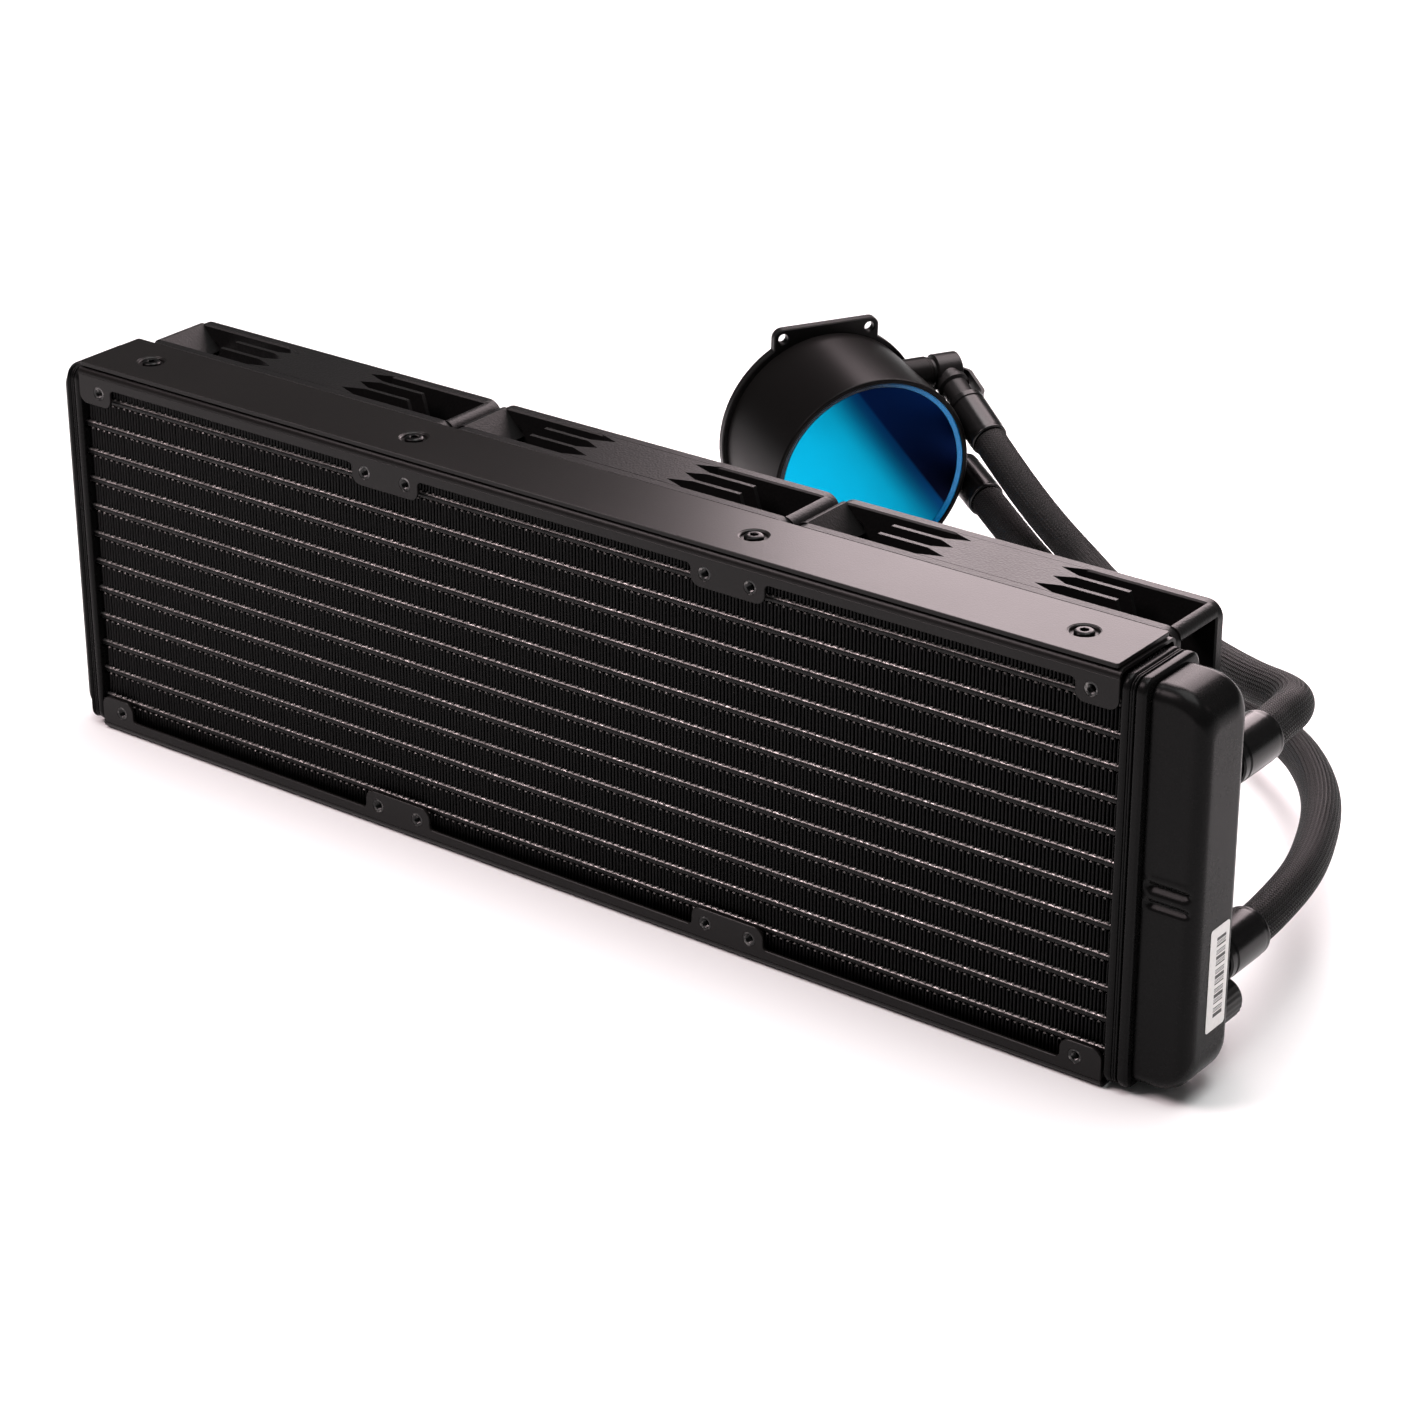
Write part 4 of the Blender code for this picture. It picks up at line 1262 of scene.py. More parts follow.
@dataclass
class SheetFrame:
    """The two folded side channels, the cover plate and its screws."""

    powder: Coating
    collar: DarkSteel
    steel: DarkSteel
    middle: float = 59.6
    half: float = 180.5
    height: float = 59.6
    side: float = 13.5
    sheet: float = 1.0
    bend: float = 2.3
    flange_edge: float = 54.4
    tab_edge: float = 48.3
    hole_half: float = 52.5
    fan_pitch: float = 120.0
    cover: tuple[float, float, float, float] = (-13.3, 11.5, 59.9, 61.2)
    cover_half: float = 179.8
    well: float = 4.3
    screws: tuple[float, ...] = (-162.3, -59.5, 59.5, 162.3)
    screw_y: float = -0.8
    screw_seat: float = 60.45
    tab_reach: float = 4.7
    tab_radius: float = 3.0
    fillet: float = 1.4

    def build(self) -> None:
        """Build both channels, the cover plate and the four screws."""
        self._channel("side_channel_top", 1)
        self._channel("side_channel_bottom", -1)
        self._cover()
        for index, x in enumerate(self.screws):
            draft = Draft()
            seat = Matrix.Translation((x, self.screw_y, self.middle + self.screw_seat))
            socket_head(draft, 2.75, 0.95, 1.05, seat)
            draft.make(f"cover_screw_{index + 1}_fine", self.steel, [f"cover_screw_{index + 1}"])

    def _flange(self) -> list[Pair]:
        """Draw a flange with its tabs.

        Returns:
            The outline, along X and away from the middle.
        """
        hole, far = self.hole_half, self.fan_pitch + self.hole_half
        mate = self.fan_pitch - hole
        low, high, reach = self.tab_edge, self.flange_edge, self.tab_reach
        round_tab, fillet = self.tab_radius, self.fillet
        points: list[Pair] = [(self.half, self.height - self.bend), (-self.half, self.height - self.bend)]
        for left, right in ((-self.half, -far + reach), (-mate - reach, -hole + reach),
                            (hole - reach, mate + reach), (far - reach, self.half)):
            if left > -self.half:
                points += arc((left - fillet, high - fillet), fillet, 90, 0, 4)
            points += arc((left + round_tab, low + round_tab), round_tab, 180, 270, 6)
            points += arc((right - round_tab, low + round_tab), round_tab, 270, 360, 6)
            if right < self.half:
                points += arc((right + fillet, high - fillet), fillet, 180, 90, 4)
        return points

    def _channel(self, node: str, side: int) -> None:
        """Fold one channel and set its threaded collars.

        Args:
            node: the solid that it stands for.
            side: 1 above the core, -1 below it.
        """
        turn = STILL if side > 0 else Matrix.Rotation(math.pi, 4, "Y")
        place = Matrix.Translation((0.0, 0.0, self.middle)) @ turn
        hole, far = self.hole_half, self.fan_pitch + self.hole_half
        spots = [(x, hole) for x in (-far, hole - self.fan_pitch, -hole, hole, self.fan_pitch - hole, far)]
        draft = Draft()
        holes = [ring_points(2.0, 32, spot) for spot in spots]
        for low in (-self.side, self.side - self.sheet):
            draft.plate(self._flange(), holes, low, low + self.sheet, 0.16, place @ Flat.XZ.value)
        flat = [(u * self.half, v * (self.side - self.bend)) for u, v in ((1, 1), (-1, 1), (-1, -1), (1, -1))]
        draft.plate(flat, [], self.height - self.sheet, self.height, 0.001, place)
        for way in (-1, 1):
            centre = (way * (self.side - self.bend), self.height - self.bend)
            outer = arc(centre, self.bend, 90, 90 - way * 90, 10)
            inner = arc(centre, self.bend - self.sheet, 90 - way * 90, 90, 10)
            ends = [[(x, y, z) for y, z in outer + inner] for x in (-self.half, self.half)]
            draft.rings(ends, place)
        draft.make(f"{node}_fine", self.powder, [node])
        rings = Draft()
        thread: list[Pair] = []
        for step in range(6):
            thread += [(1.35, 0.8 - step * 0.45), (1.6, 0.58 - step * 0.45)]
        profile = [(2.0, -2.6), (3.0, -2.6), (3.0, -0.3), (2.0, -0.3), (2.0, 0.95), *thread]
        for x, z in spots:
            seat = place @ facing((0, -1, 0), (x, -self.side + self.sheet + 0.05, z))
            rings.turned(profile, seat, 40)
            seat = place @ facing((0, 1, 0), (x, self.side - self.sheet - 0.05, z))
            rings.turned(profile, seat, 40)
        rings.make(f"{node}_collars", self.collar)

    def _cover(self) -> None:
        """Cut the cover plate and press its four screw wells."""
        front, rear, low, high = self.cover
        low, high = low + self.middle, high + self.middle
        half = (self.cover_half, (rear - front) / 2.0)
        centre = (0.0, (rear + front) / 2.0)
        wells = [ring_points(self.well, 56, (x, self.screw_y)) for x in self.screws]
        draft = Draft()
        draft.plate(rounded(half, 0.8, 3, centre), wells, low, high, 0.14)
        profile = [(4.45, -1.2), (4.45, -0.12), (4.25, -0.12)] + arc((4.25, -0.75), 0.55, 110, 200, 5)
        profile += [(3.5, -1.0), (1.8, -1.0), (1.8, -1.3), (4.2, -1.3)]
        for x in self.screws:
            draft.turned(profile, Matrix.Translation((x, self.screw_y, high)), 56)
        draft.make("cover_plate_fine", self.powder, ["cover_plate"])


@dataclass
class EndTank:
    """One pressed end tank and the slotted header plate beside it."""

    side: int
    satin: Coating
    end: float
    corner: float
    edge: float
    middle: float = 59.6
    header: float = 180.8
    rim_half: float = 58.3
    rim_side: float = 13.2
    mouth: float = 184.9
    half: float = 56.8
    front: float = -11.0
    rear: float = 10.5
    rows: int = 12
    pitch: float = 9.0
    slot: Pair = (11.2, 1.2)
    grooves: tuple[float, ...] = ()
    groove_start: float = 189.6
    groove_end: float = 202.6
    groove_depth: float = 1.3
    groove_swell: float = 0.35
    groove_zone: float = 8.0
    groove_step: float = 0.4

    def _outline(self, half_z: float, front: float, rear: float, radius: float) -> list[Pair]:
        """Give a ring round the tank, with close points where the grooves are pressed.

        Args:
            half_z: half its height.
            front: its front face.
            rear: its rear face.
            radius: its corners' radius.

        Returns:
            The points, each a depth and a height.
        """
        middle = self.middle
        points: list[Pair] = []
        radius = min(radius, (rear - front) / 2.0 - 0.05)
        for start, su, sv in ((0, 1, 1), (90, -1, 1)):
            corner = (rear - radius if su > 0 else front + radius, middle + sv * (half_z - radius))
            points += arc(corner, radius, start, start + 90, 8)
        zone = self.groove_zone
        dense = np.arange(zone, -zone - 0.01, -self.groove_step)
        spread = np.linspace(half_z - radius, zone, 5)[1:-1]
        points += [(front, middle + float(z)) for z in [*spread, *dense, *(-spread[::-1])]]
        for start, su, sv in ((180, -1, -1), (270, 1, -1)):
            corner = (rear - radius if su > 0 else front + radius, middle + sv * (half_z - radius))
            points += arc(corner, radius, start, start + 90, 8)
        return points

    def _stations(self) -> list[tuple[float, float, float, float, float]]:
        """List the rings that shape the tank.

        Returns:
            X, half height, front, rear and corner radius of each, from mouth to end.
        """
        half, side = self.rim_half, self.rim_side
        rim = [(0.0, 0.9), (0.1, 0.5), (0.35, 0.2), (0.8, 0.0)]
        if self.side > 0:
            rim += [(2.1, 0.0), (2.55, 0.15), (2.9, 0.5), (3.1, 0.95)]
        stations = [(self.mouth + x, half - tuck, tuck - side, side - tuck, 4.0 - tuck * 0.5)
                    for x, tuck in rim]
        start = stations[-1][0]
        body = [(0.1, 0.45), (0.35, 0.15), (0.8, 0.0)]
        if self.side < 0:
            body = [(0.6, 0.0)]
            stations.append((start + 0.3, half - 0.8, 0.8 - side, side - 0.8, 4.0))
        stations += [(start + x, self.half - tuck, self.front + tuck, self.rear - tuck, 4.2)
                     for x, tuck in body]
        bend = self.end - self.corner
        for x in np.arange(start + 2.0, bend - 0.4, 0.7):
            stations.append((float(x), self.half, self.front, self.rear, 4.5))
        for angle in np.linspace(0.0, math.pi / 2.0, 18):
            x = bend + self.corner * math.sin(angle)
            if x < start + 0.4:
                continue
            drop = self.corner * (1.0 - math.cos(angle))
            past = max(0.0, x - self.end + self.edge)
            tuck = self.edge - math.sqrt(max(0.0, self.edge ** 2 - past ** 2))
            sides = (self.front + tuck, self.rear - tuck, 4.5 - tuck * 0.25)
            stations.append((x, self.half - drop * 0.92, *sides))
        return stations

    def _press(self, x: float, y: float, z: float) -> float:
        """Give the depth of the pressed grooves at a point of the front face.

        Args:
            x: how far the point is along the tank.
            y: its depth.
            z: its height.

        Returns:
            The depth of the grooves there.
        """
        if y > self.front + 3.0 or not self.grooves:
            return 0.0
        window = min(1.0, max(0.0, (x - self.groove_start) / 1.2))
        window *= min(1.0, max(0.0, (self.groove_end - x) / 1.6))
        deep = sum(math.exp(-((z - groove) / 1.0) ** 2) for groove in self.grooves)
        swell = sum(math.exp(-((z - groove - 2.4) / 1.1) ** 2) for groove in self.grooves)
        return window * (self.groove_depth * deep - self.groove_swell * swell)

    def build(self, name: str) -> None:
        """Press the tank and cut its header plate.

        Args:
            name: the end's name, left or right.
        """
        rings = []
        for x, half_z, front, rear, radius in self._stations():
            outline = self._outline(half_z, front, rear, radius)
            rings.append([(self.side * x, y + self._press(x, y, z), z) for y, z in outline])
        last = rings[-1]
        centre = Vector((0, 0, 0))
        for point in last:
            centre += Vector(point) / len(last)
        for share in (0.6, 0.2):
            rings.append([tuple(centre + (Vector(p) - centre) * share) for p in last])
        draft = Draft()
        draft.rings(rings)
        draft.make(f"end_tank_{name}_fine", self.satin, [f"end_tank_{name}"], crease=38.0)
        plate = Draft()
        slots = []
        for index in range(self.rows):
            height = self.middle + (index - (self.rows - 1) / 2.0) * self.pitch
            slots.append(rounded(self.slot, 1.1, 4, (0.0, height)))
        bands = ((0.0, 2.4, 0.9, 0.0), (2.5, 3.1, 0.28, 0.25), (3.2, 3.8, 0.28, 0.25))
        for near, far, edge, inset in bands:
            low, high = sorted((self.side * (self.header + near), self.side * (self.header + far)))
            half = (self.rim_side - inset, self.rim_half - inset)
            outline = rounded(half, 4.0 - inset, 8, (0.0, self.middle))
            plate.plate(outline, slots, low, high, edge, Flat.YZ.value, 3)
        plate.make(f"header_plate_{name}_fine", self.satin, [f"header_plate_{name}"])


@dataclass
class TankFittings:
    """The two hose ports, the filling plug, the baffle and the label."""

    satin: Coating
    plastic: Moulded
    label: PlainLabel
    x: float = PORT_X
    start: float = 10.8
    ports: tuple[tuple[str, float], ...] = (("port_upper", PORT_UPPER), ("port_lower", PORT_LOWER))
    plug: float = 17.1
    knurls: int = 24
    label_x: float = 204.5
    label_low: float = 0.02
    label_high: float = 0.14

    def build(self) -> None:
        """Turn the ports and the plug, and stick the label on."""
        for node, height in self.ports:
            draft = Draft()
            profile = [(2.8, -3.5), (4.9, -3.5), (4.9, 0.0), (5.8, 0.0), (6.2, 0.35), (6.2, 1.3), (5.8, 1.7),
                       (3.9, 1.8)]
            for step in range(4):
                base = 2.4 + step * 2.3
                profile += [(3.5, base), (4.0, base + 0.3), (3.6, base + 2.0)]
            profile += [(3.4, 12.0), (2.8, 12.0)]
            draft.turned(profile, facing((0, 1, 0), (self.x, self.start, height)), 56)
            draft.make(f"{node}_fine", self.satin, [node])
        self._plug()
        dress("tank_baffle", self.satin)
        paper = Draft()
        (y0, z0), (y1, z1) = self.label.low, self.label.high
        centre = ((y0 + y1) / 2.0 / MM, (z0 + z1) / 2.0 / MM)
        half = ((y1 - y0) / 2.0 / MM, (z1 - z0) / 2.0 / MM)
        outline = rounded(half, 1.0, 5, centre)
        low, high = self.label_x + self.label_low, self.label_x + self.label_high
        paper.plate(outline, [], low, high, 0.02, Flat.YZ.value)
        paper.make("tank_label", self.label)

    def _plug(self) -> None:
        """Turn the plug, with a knurled rim and a slot for a coin."""
        sides = self.knurls * 4
        rings = []
        levels = [(3.9, -3.0, 0), (3.9, 0.0, 0), (5.7, 0.05, 0), (6.1, 0.5, 0.14), (6.1, 10.3, 0.14),
                  (5.6, 11.3, 0), (4.6, 11.4, 0), (4.4, 10.6, 0), (1.0, 10.6, 0)]
        for radius, level, knurl in levels:
            ring = []
            for i, (x, y) in enumerate(ring_points(1.0, sides)):
                reach = radius - (knurl if i % 4 < 2 else 0.0)
                ring.append((x * reach, y * reach, level))
            rings.append(ring)
        draft = Draft()
        place = facing((0, 1, 0), (self.x, self.start, self.plug))
        draft.rings(rings, place)
        draft.plate(rounded((3.9, 0.7), 0.6, 4), [], 10.5, 11.3, 0.15, place)
        draft.make("fill_plug_fine", self.plastic, ["fill_plug"])


# -------------------------------------------------------------------------- fans

@dataclass
class Fan:
    """One square fan: its ribbed frame, hub, screws, motor core and rotor."""

    index: int
    frame_plastic: Moulded
    rotor_plastic: Moulded
    steel: DarkSteel
    core: Laminations
    pitch: float = 120.0
    half: float = 59.6
    depth: float = 24.8
    front: float = 14.4
    duct: float = 57.2
    duct_wall: float = 1.6
    rim: float = 3.6
    hole_half: float = 52.5
    hub: float = 20.0
    blades: int = 9
    tip: float = 55.8
    root_angle: float = 46.0
    twist: float = 18.0
    root_chord: float = 17.0
    spread: float = 12.0
    camber: float = 1.6
    blade_middle: float = 13.4

    def place(self) -> Matrix:
        """Place the fan's own frame, with z to the rear, in the model."""
        return facing((0, 1, 0), ((self.index - 2) * self.pitch, self.front, self.half))

    def build(self) -> None:
        """Build the frame, the screws and the rotor, and dress the motor core."""
        self._frame()
        self._screws()
        self._rotor()
        dress(f"fan_stator_{self.index}", self.core)

    def _frame(self) -> None:
        """Build the frame: two rims, a duct, corner posts, ribs, hub and struts."""
        draft = Draft()
        place = self.place()
        outline = rounded((self.half, self.half), 4.5, 8)
        spots = [(sx * self.hole_half, sy * self.hole_half) for sx in (-1, 1) for sy in (-1, 1)]
        holes = [ring_points(self.duct, 160)] + [ring_points(2.2, 28, spot) for spot in spots]
        for low in (0.0, self.depth - self.rim):
            draft.plate(outline, holes, low, low + self.rim, 0.45, place)
        low, high = self.rim - 0.5, self.depth - self.rim + 0.5
        draft.turned([(self.duct, low), (self.duct + self.duct_wall, low),
                      (self.duct + self.duct_wall, high), (self.duct, high)], place, 160)
        post = [(self.half - 3.1, self.half), (self.half - 10.0, self.half - 7.2),
                (self.half - 7.2, self.half - 10.0), (self.half, self.half - 3.1)]
        post += arc((self.half - 3.0, self.half - 3.0), 3.0, 1, 89, 10)
        for quarter in range(4):
            turn = place @ Matrix.Rotation(math.pi / 2.0 * quarter, 4, "Z")
            draft.plate(post, [], low, high, 0.001, turn)
            for way in (-1, 1):
                self._ribs(draft, turn, way)
        self._hub(draft, place)
        draft.make(f"fan_frame_{self.index}_fine", self.frame_plastic, [f"fan_frame_{self.index}"])

    def _ribs(self, draft: Draft, turn: Matrix, way: int) -> None:
        """Add one half of a side's web, with three pointed slots between two vanes.

        Args:
            draft: the frame.
            turn: the matrix of this side.
            way: 1 or -1, the half along the side.
        """
        low, high = self.rim - 0.3, self.depth - self.rim + 0.3
        flat, point, root, end = 14.0, 3.0, 21.0, 37.0
        vane = 1.3
        gap = (high - low - 2.0 * vane) / 3.0
        edges: list[tuple[float, float, float]] = [(0.0, low, 0.0)]
        level = low
        for slot in range(3):
            edges.append((root if slot == 0 else end, level, 0.0 if slot == 0 else 6.0))
            if slot > 0:
                edges.append((root, level, 0.0))
            edges.append((flat + point * (slot % 2) * 0.5, level + gap / 2.0, 0.0))
            edges.append((root, level + gap, 0.0))
            if slot < 2:
                edges.append((end, level + gap, 6.0))
            level += gap + vane
        edges.append((0.0, high, 0.0))
        cleaned = list(dict.fromkeys(edges))
        rings = []
        for lower in (True, False):
            ring = []
            for x, depth, slope in cleaned:
                x = x + (slope if lower else 0.0)
                reach = math.sqrt((self.duct + 1.4) ** 2 - x * x) if lower else self.half
                ring.append((way * x, reach, depth))
            rings.append(ring)
        draft.rings(rings, turn)
        self._ramps(draft, turn, way, low, gap, vane, flat, root)

    def _ramps(self, draft: Draft, turn: Matrix, way: int, low: float, gap: float, vane: float,
               flat: float, root: float) -> None:
        """Add the sloping floors that run out of the slots' points.

        Args:
            draft: the frame.
            turn: the matrix of this side.
            way: 1 or -1, the half along the side.
            low: the depth of the first slot's near edge.
            gap: a slot's width.
            vane: a vane's thickness.
            flat: how far the flat web reaches.
            root: where the slots reach their full width.
        """
        for slot in range(3):
            near = low + slot * (gap + vane)
            far = near + gap
            top = self.half - 0.15
            foot = math.sqrt((self.duct + 1.5) ** 2 - (root + 7.0) ** 2)
            under = math.sqrt((self.duct + 0.6) ** 2 - flat ** 2)
            corners = [(way * flat, top, near), (way * flat, top, far),
                       (way * (root + 7.0), foot, near), (way * (root + 7.0), foot, far),
                       (way * flat, under, near), (way * flat, under, far)]
            faces = [(0, 1, 3, 2), (4, 5, 3, 2), (0, 4, 5, 1), (0, 2, 4), (1, 3, 5)]
            draft.add(corners, faces, turn)

    def _hub(self, draft: Draft, place: Matrix) -> None:
        """Add the motor seat, its bearing tube and four cranked struts.

        Args:
            draft: the frame.
            place: the matrix of the fan.
        """
        seat = self.hub + 0.5
        draft.turned([(1.8, 0.6), (12.0, 0.6), (12.4, 0.9), (18.6, 0.9), (19.0, 0.6), (seat - 0.5, 0.6),
                      (seat, 1.1), (seat, 3.4), (3.4, 3.4), (3.4, 16.0), (1.8, 16.0)], place, 72)
        for arm in range(4):
            spin = math.radians(45 + 90 * arm)
            rings = []
            for share in np.linspace(0.0, 1.0, 9):
                reach = self.hub - 1.0 + (self.duct + 0.8 - self.hub + 1.0) * share
                bow = 3.0 * math.sin(math.pi * share)
                half = 2.6 - 1.0 * math.sin(math.pi * share)
                section = [(-half, 1.2), (-half * 0.6, 0.7), (half * 0.6, 0.7), (half, 1.2),
                           (half * 0.7, 3.3), (-half * 0.7, 3.3)]
                rings.append([(reach, bow + u, v) for u, v in section])
            draft.rings(rings, place @ Matrix.Rotation(spin, 4, "Z"))

    def _screws(self) -> None:
        """Drive the four long fixing screws into the frame's corners."""
        draft = Draft()
        for sx in (-1, 1):
            for sy in (-1, 1):
                spot = (sx * self.hole_half, sy * self.hole_half, self.depth + 0.1)
                seat = self.place() @ Matrix.Translation(spot)
                draft.turned([(0.0, -26.0), (1.5, -26.0), (1.5, 0.0), (0.0, 0.0)], seat, 20)
                socket_head(draft, 3.3, 1.7, 1.2, seat)
        draft.make(f"fan_screws_{self.index}", self.steel)

    def _rotor(self) -> None:
        """Turn the motor cup and set its swept blades."""
        draft = Draft()
        place = self.place()
        hub = self.hub
        profile = [(0.0, 22.1), (4.0, 22.1), (4.3, 22.5), (14.8, 22.5), (15.2, 22.2)]
        profile += [(17.0, 22.2), (17.3, 22.5)]
        profile += arc((hub - 1.6, 20.9), 1.6, 90, 0, 6)
        profile += [(hub, 4.2), (hub - 1.5, 4.2), (hub - 1.5, 20.7), (1.5, 20.7), (1.5, 8.0), (0.0, 8.0)]
        draft.turned(profile, place, 96)
        for k in range(self.blades):
            self._blade(draft, place, 2.0 * math.pi * k / self.blades)
        draft.make(f"fan_rotor_{self.index}_fine", self.rotor_plastic, [f"fan_rotor_{self.index}"],
                   f"rotor_{self.index}", 40.0)

    def _blade(self, draft: Draft, place: Matrix, turn: float) -> None:
        """Add one swept and twisted blade, thin at both edges.

        Args:
            draft: the rotor.
            place: the matrix of the fan.
            turn: the blade's angle round the hub.
        """
        spans, chords = 14, 14
        rings = []
        for i in range(spans + 1):
            part = i / spans
            radius = self.hub - 0.8 + (self.tip - self.hub + 0.8) * part
            slope = math.radians(self.root_angle - self.twist * part)
            chord = self.root_chord + self.spread * part
            chord *= 1.0 - 0.16 * max(0.0, part - 0.86) / 0.14
            sweep = math.radians(-14.0) * part
            lower, upper = [], []
            for k in range(chords + 1):
                share = k / chords
                along = (share - 0.5) * chord
                camber = self.camber * (1.0 - (2.0 * share - 1.0) ** 2)
                angle = turn + sweep + along * math.cos(slope) / radius
                height = self.blade_middle + along * math.sin(slope) + camber
                thick = 0.25 + 0.9 * math.sin(math.pi * share) ** 0.7
                flat = (radius * math.cos(angle), radius * math.sin(angle))
                lower.append((*flat, height + 0.4 - thick / 2.0))
                upper.append((*flat, height + 0.4 + thick / 2.0))
            rings.append(lower + upper[::-1])
        draft.rings(rings, place)


# --------------------------------------------------------------------- pump head

@dataclass
class PumpHead:
    """The pump head: bracket, housing, mirror, elbows and its inner pieces."""

    pump: Pump
    satin: Coating
    plastic: Moulded
    mirror: BlueMirror
    edge: BlueEdge
    copper: LappedCopper
    rubber: Moulded
    core: Laminations
    radius: float = 35.6
    base_radius: float = 37.2
    base_thick: float = 3.0
    base_bore: float = 28.8
    ear_hole: Pair = (16.0, 35.7)
    ear_edge: float = 39.1
    ear_corner: float = 3.3
    screws: int = 8
    screw_ring: float = 25.5
    screw_seat: float = -2.15
    elbows: tuple[tuple[str, float, float], ...] = (
        ("pump_elbow_upper", *ARM_UPPER),
        ("pump_elbow_lower", *ARM_LOWER),
    )

    def build(self) -> None:
        """Build every piece of the head that shows, and dress the rest."""
        self._housing()
        self._bracket()
        self._face()
        for node, height, tilt in self.elbows:
            self._elbow(node, height, tilt)
        self._contact()
        dress("pump_volute", self.plastic)
        dress("pump_stator", self.core)
        dress("pump_impeller", self.plastic)
        dress("cold_plate_seal", self.rubber)

    def _housing(self) -> None:
        """Turn the housing, with a rolled front lip and two port bosses."""
        draft = Draft()
        place = self.pump.place()
        top = self.pump.length
        r = self.radius
        profile = [(33.9, 3.3), (r - 0.4, 3.3), (r, 3.7), (r, top - 0.7)]
        profile += arc((r - 0.7, top - 0.7), 0.7, 0, 90, 5)
        profile += [(34.3, top), (33.95, top - 0.3), (33.9, 39.2), (31.0, 39.2), (31.0, 37.5), (33.9, 37.5)]
        draft.turned(profile, place, 160)
        for _, height, _ in self.elbows:
            boss = place @ facing((1, 0, 0), (24.0, height, self.pump.elbow_height))
            profile = [(3.2, 2.0), (5.9, 2.0), (5.9, 10.6), (5.5, 11.0), (5.5, 11.6), (3.2, 11.6)]
            draft.turned(profile, boss, 48)
        draft.make("pump_shell_fine", self.satin, ["pump_shell"])

    def _bracket(self) -> None:
        """Cut the base ring with its two pairs of eared screw holes."""
        place = self.pump.place()
        radius, corner, half = self.base_radius, self.ear_corner, self.ear_hole[0] + 3.4
        meet = math.degrees(math.acos(half / radius))
        outline: list[Pair] = []
        for sign in (1, -1):
            side = arc((0.0, 0.0), radius, -meet, meet, 28)
            side += arc((half - corner, self.ear_edge - corner), corner, 0, 90, 6)
            side += arc((-half + corner, self.ear_edge - corner), corner, 90, 180, 6)
            outline += [(sign * x, sign * y) for x, y in side]
        spots = [(sx * self.ear_hole[0], sy * self.ear_hole[1]) for sx in (-1, 1) for sy in (-1, 1)]
        draft = Draft()
        holes = [ring_points(self.base_bore, 96)] + [ring_points(1.75, 28, spot) for spot in spots]
        draft.plate(outline, holes, 0.0, self.base_thick, 0.35, place)
        draft.make("pump_bracket_fine", self.plastic, ["pump_bracket"])

    def _face(self) -> None:
        """Set the mirror and the polished bevel round it."""
        place = self.pump.place()
        mirror = Draft()
        mirror.turned([(0.0, 39.5), (32.0, 39.5), (32.15, 41.4), (32.0, 41.7), (0.0, 41.7)], place, 160)
        mirror.make("pump_mirror_fine", self.mirror, ["pump_mirror"])
        bevel = Draft()
        bevel.turned([(32.2, 39.5), (33.85, 39.5), (33.85, 42.45), (33.5, 42.55), (32.2, 41.75)], place, 160)
        bevel.make("pump_trim_ring_fine", self.edge, ["pump_trim_ring"])

    def _elbow(self, node: str, height: float, tilt: float) -> None:
        """Turn one swivel elbow: a stepped barrel across, and the arm to the hose.

        Args:
            node: the solid that it stands for.
            height: its height on the pump.
            tilt: how far its arm drops.
        """
        draft = Draft()
        level = self.pump.elbow_height
        barrel = self.pump.place() @ facing((1, 0, 0), (35.9, height, level))
        profile = [(0.0, 0.0), (4.6, 0.0), (4.9, 0.3), (4.9, 1.2), (5.9, 1.5), (6.2, 1.8), (6.2, 9.8)]
        profile += arc((5.6, 10.0), 0.6, 0, 90, 4) + [(3.2, 10.6), (3.0, 10.3), (0.0, 10.3)]
        draft.turned(profile, barrel, 64)
        point, way = self.pump.arm(height, tilt, 0.0)
        arm = [(0.0, 0.0), (4.6, 0.0), (4.6, 6.4), (5.0, 6.7), (5.6, 7.2), (5.6, 9.0), (5.0, 9.5)]
        arm += [(4.6, 9.8), (4.6, 17.7), (3.9, 17.7), (3.9, 28.7), (0.0, 28.7)]
        draft.turned(arm, facing(way, point), 64)
        if height > 0.0:
            self._keeper(draft, height, tilt)
        draft.make(f"{node}_fine", self.plastic, [node])

    def _keeper(self, draft: Draft, height: float, tilt: float) -> None:
        """Add the thin strap that guards the upper elbow's outer side.

        Args:
            draft: the elbow.
            height: its height on the pump.
            tilt: how far its arm drops.
        """
        side = self.pump.place().to_3x3() @ Vector((1.0, 0.0, 0.0))
        rings = []
        for share in np.linspace(0.0, 1.0, 17):
            point, way = self.pump.arm(height, tilt, 2.0 + 16.5 * share)
            bow = 4.6 + 2.9 * min(1.0, 2.2 * math.sin(math.pi * share))
            lift = side.cross(way)
            centre = point + side * bow
            section = [(-0.6, -2.6), (0.6, -2.6), (0.75, 0.0), (0.6, 2.6), (-0.6, 2.6), (-0.75, 0.0)]
            rings.append([tuple(centre + side * u + lift * v) for u, v in section])
        draft.rings(rings)

    def _contact(self) -> None:
        """Dress the cold plate and set its ring of small screws."""
        place = self.pump.place()
        dress("cold_plate", self.copper)
        draft = Draft()
        for k in range(self.screws):
            angle = 2.0 * math.pi * (k + 0.5) / self.screws
            spot = (self.screw_ring * math.cos(angle), self.screw_ring * math.sin(angle), self.screw_seat)
            socket_head(draft, 1.6, 0.5, 0.6, place @ facing((0, 0, -1), spot))
        draft.make("cold_plate_screws", DarkSteel("plate screw steel", "screw_steel", 0.3))


# -------------------------------------------------------------------------- main

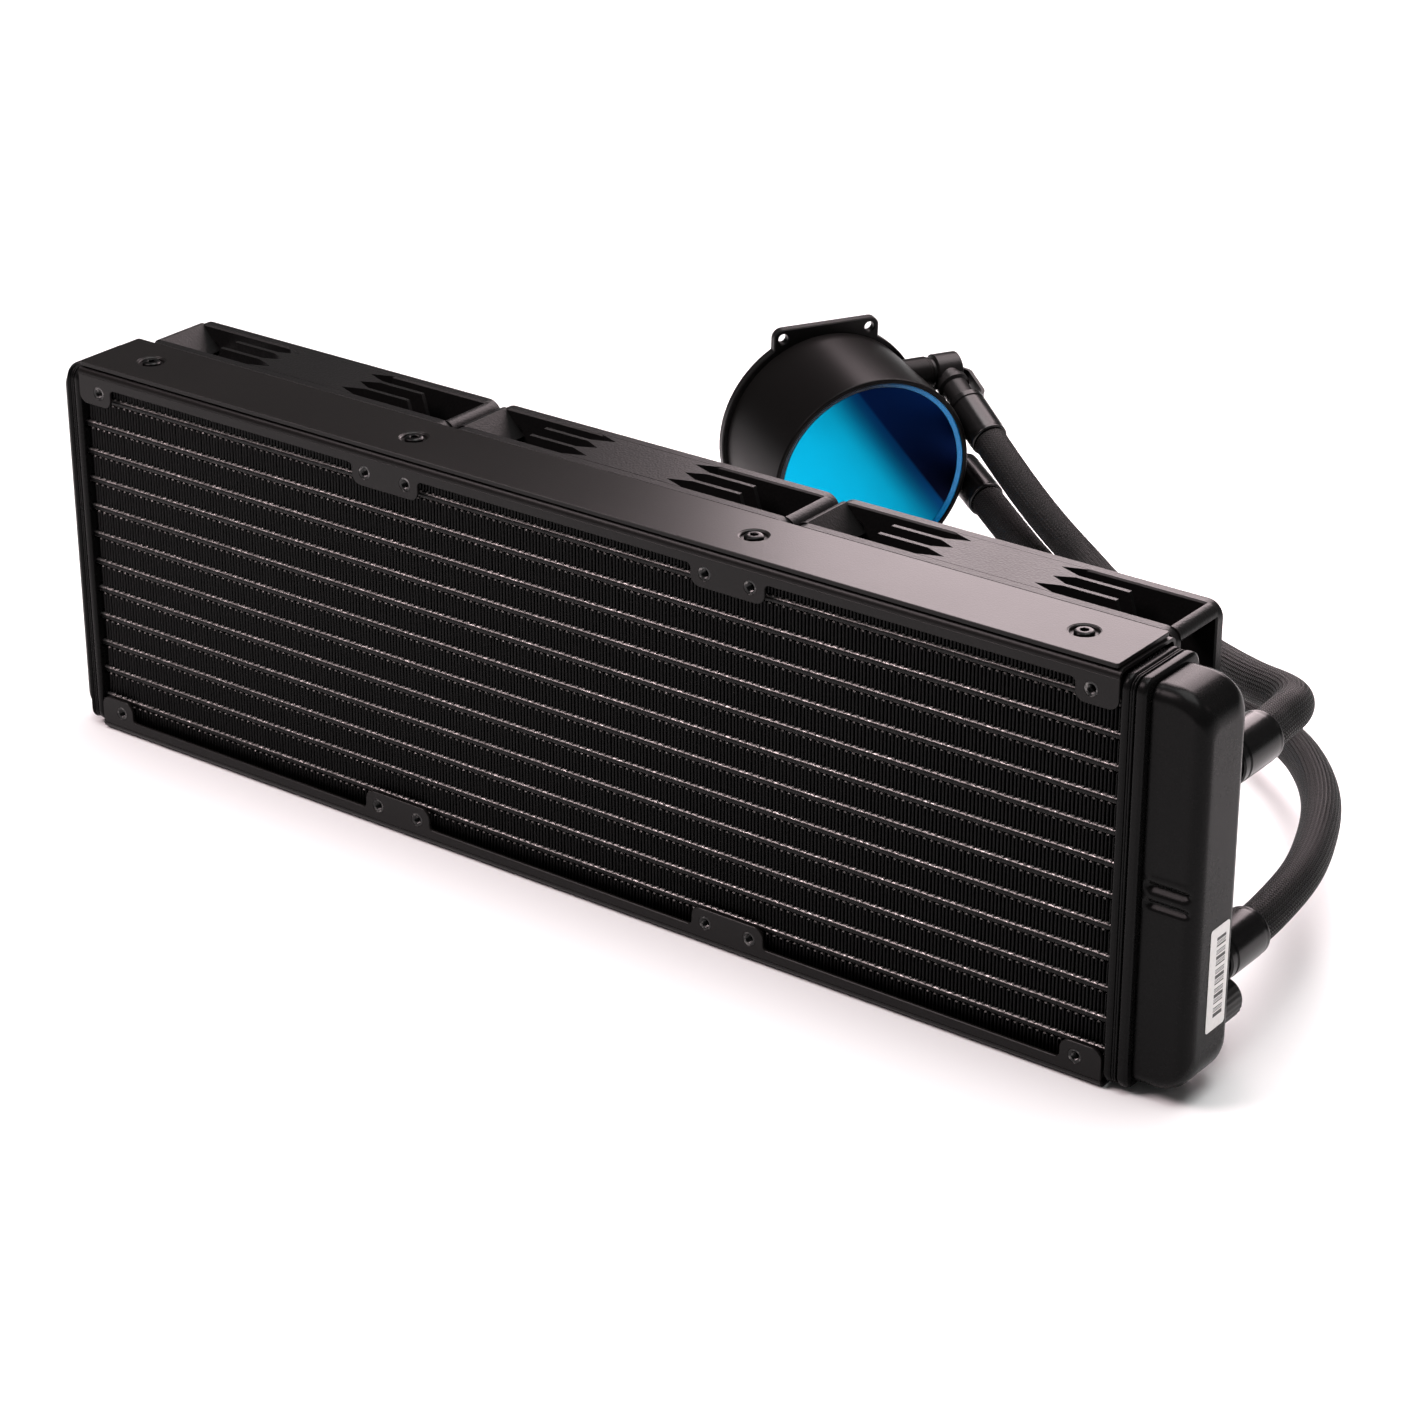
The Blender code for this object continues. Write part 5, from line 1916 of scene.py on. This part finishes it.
LOWER_ROUTE = [
    (194.3, 50.2, 31.5), (190.9, 69.5, 31), (183.4, 91.6, 29.5), (171.7, 116.6, 27),
    (156.3, 139.6, 24), (140.6, 157.1, 21), (125, 170.2, 18), (111.2, 179.6, 15.5),
    (94, 190, 11), (76, 202, 8), (56.5, 214, 6.5), (37.5, 224.5, 6.3), (18, 234.5, 8),
    (-1.5, 243.3, 12.2),
]
UPPER_ROUTE = [
    (194.6, 43.3, 88), (193.5, 52.1, 87.5), (189.4, 60.7, 86), (182.4, 67, 84),
    (174.1, 72.9, 81.5), (164.8, 80.4, 78.5), (153.5, 90.8, 74.5), (138.4, 105.3, 69),
    (121.6, 124.2, 61), (102, 148.8, 50), (82.1, 173.7, 39), (62.8, 196.4, 29.5),
    (44.5, 216.2, 22.5), (29.4, 230.1, 20), (16.5, 239.7, 20.5), (5.6, 243.8, 24.5),
]


def build_hoses(pump: Pump) -> None:
    """Lay both hoses with their ferrules.

    Args:
        pump: the pump head that they run to.
    """
    black = Coating("ferrule black", "ferrule_black", 0.003, 0.0, 0.24, 0.05, 900.0, 0.00001, 0.2)
    ferrules = Ferrules(black)
    braid = Braid("braided sleeve", "hose_sleeve")
    plans = (
        ("lower", PORT_LOWER, LOWER_ROUTE, ARM_LOWER),
        ("upper", PORT_UPPER, UPPER_ROUTE, ARM_UPPER),
    )
    for end, height, route, arm in plans:
        seat = facing((0, 1, 0), (PORT_X, FERRULE_START, height))
        near = ferrules.one(f"ferrule_radiator_{end}", 7.2, seat)
        point, way = pump.arm(*arm, ARM_END)
        far = ferrules.one(f"ferrule_pump_{end}", 6.5, facing(way, point))
        hose = Hose(f"hose_{end}", (PORT_X, FERRULE_END, height), arm, route, braid)
        hose.build(pump, [near, far])


def build_radiator() -> None:
    """Build the core, its sheet frame, the end tanks and their fittings."""
    satin = Coating("tank black", "tank_black", 0.004, 0.02, 0.27, 0.05, 700.0, 0.000004, 0.07)
    powder = Coating("powder coat", "frame_black", 0.006, 0.12, 0.33, 0.05, 2200.0, 0.00004, 0.14)
    steel = DarkSteel("screw steel", "screw_steel", 0.009, 0.36)
    Core(FinStock("fin stock", "core_black", 1.3, 0.006), GlintPaintedTube("tube black", "core_black")).build()
    SheetFrame(powder, DarkSteel("collar steel", "frame_black", 0.05), steel).build()
    EndTank(1, satin, 204.5, 11.0, 4.0, grooves=(61.6, 56.6)).build("right")
    EndTank(-1, satin, 190.5, 5.0, 2.6).build("left")
    label = PlainLabel("plain label", "tank_black", (-0.0030, 0.0196), (0.0064, 0.0496))
    TankFittings(satin, Moulded("plug plastic", "plug_plastic"), label).build()


def build_fans() -> None:
    """Build the three fans."""
    frame_plastic = Moulded("fan frame plastic", "fan_frame_plastic", 0.006, 0.42, 1600.0, 0.00008, 0.14)
    rotor_plastic = Moulded("fan rotor plastic", "fan_rotor_plastic", 0.007, 0.38, 2600.0, 0.00003, 0.2)
    for index in (1, 2, 3):
        Fan(index, frame_plastic, rotor_plastic, DarkSteel("fan screw steel", "screw_steel"),
            Laminations("fan motor core", "motor_core")).build()


def build_pump(pump: Pump) -> None:
    """Build the pump head.

    Args:
        pump: its own frame.
    """
    place = pump.place()
    across, lift, out = (tuple(place.to_3x3() @ Vector(axis))
                         for axis in ((1.0, 0.0, 0.0), (0.0, 1.0, 0.0), (0.0, 0.0, 1.0)))
    centre = tuple(Vector(pump.face) * MM)
    base = tuple(place.translation * MM)
    PumpHead(
        pump,
        Coating("pump black", "pump_black", 0.003, 0.08, 0.34, 0.05, 1400.0, 0.00001, 0.05),
        Moulded("pump plastic", "pump_plastic", 0.005, 0.36, 2000.0, 0.00004, 0.12),
        BlueMirror("blue mirror", "pump_mirror", centre, across, lift),
        BlueEdge("blue bevel", "pump_trim", centre, across),
        LappedCopper("lapped copper", "cold_plate_copper", base),
        Moulded("seal rubber", "seal_rubber", 0.014, 0.75, 900.0, 0.00005),
        Laminations("pump motor core", "motor_core", out),
    ).build()


def main() -> None:
    """Build the studio and every sub-assembly."""
    logging.basicConfig(level=logging.INFO, format="%(name)s %(message)s")
    pump = Pump()
    Studio().build()
    build_hoses(pump)
    build_radiator()
    build_fans()
    build_pump(pump)
    LOG.info("sizes written")


if __name__ == "__main__":
    main()
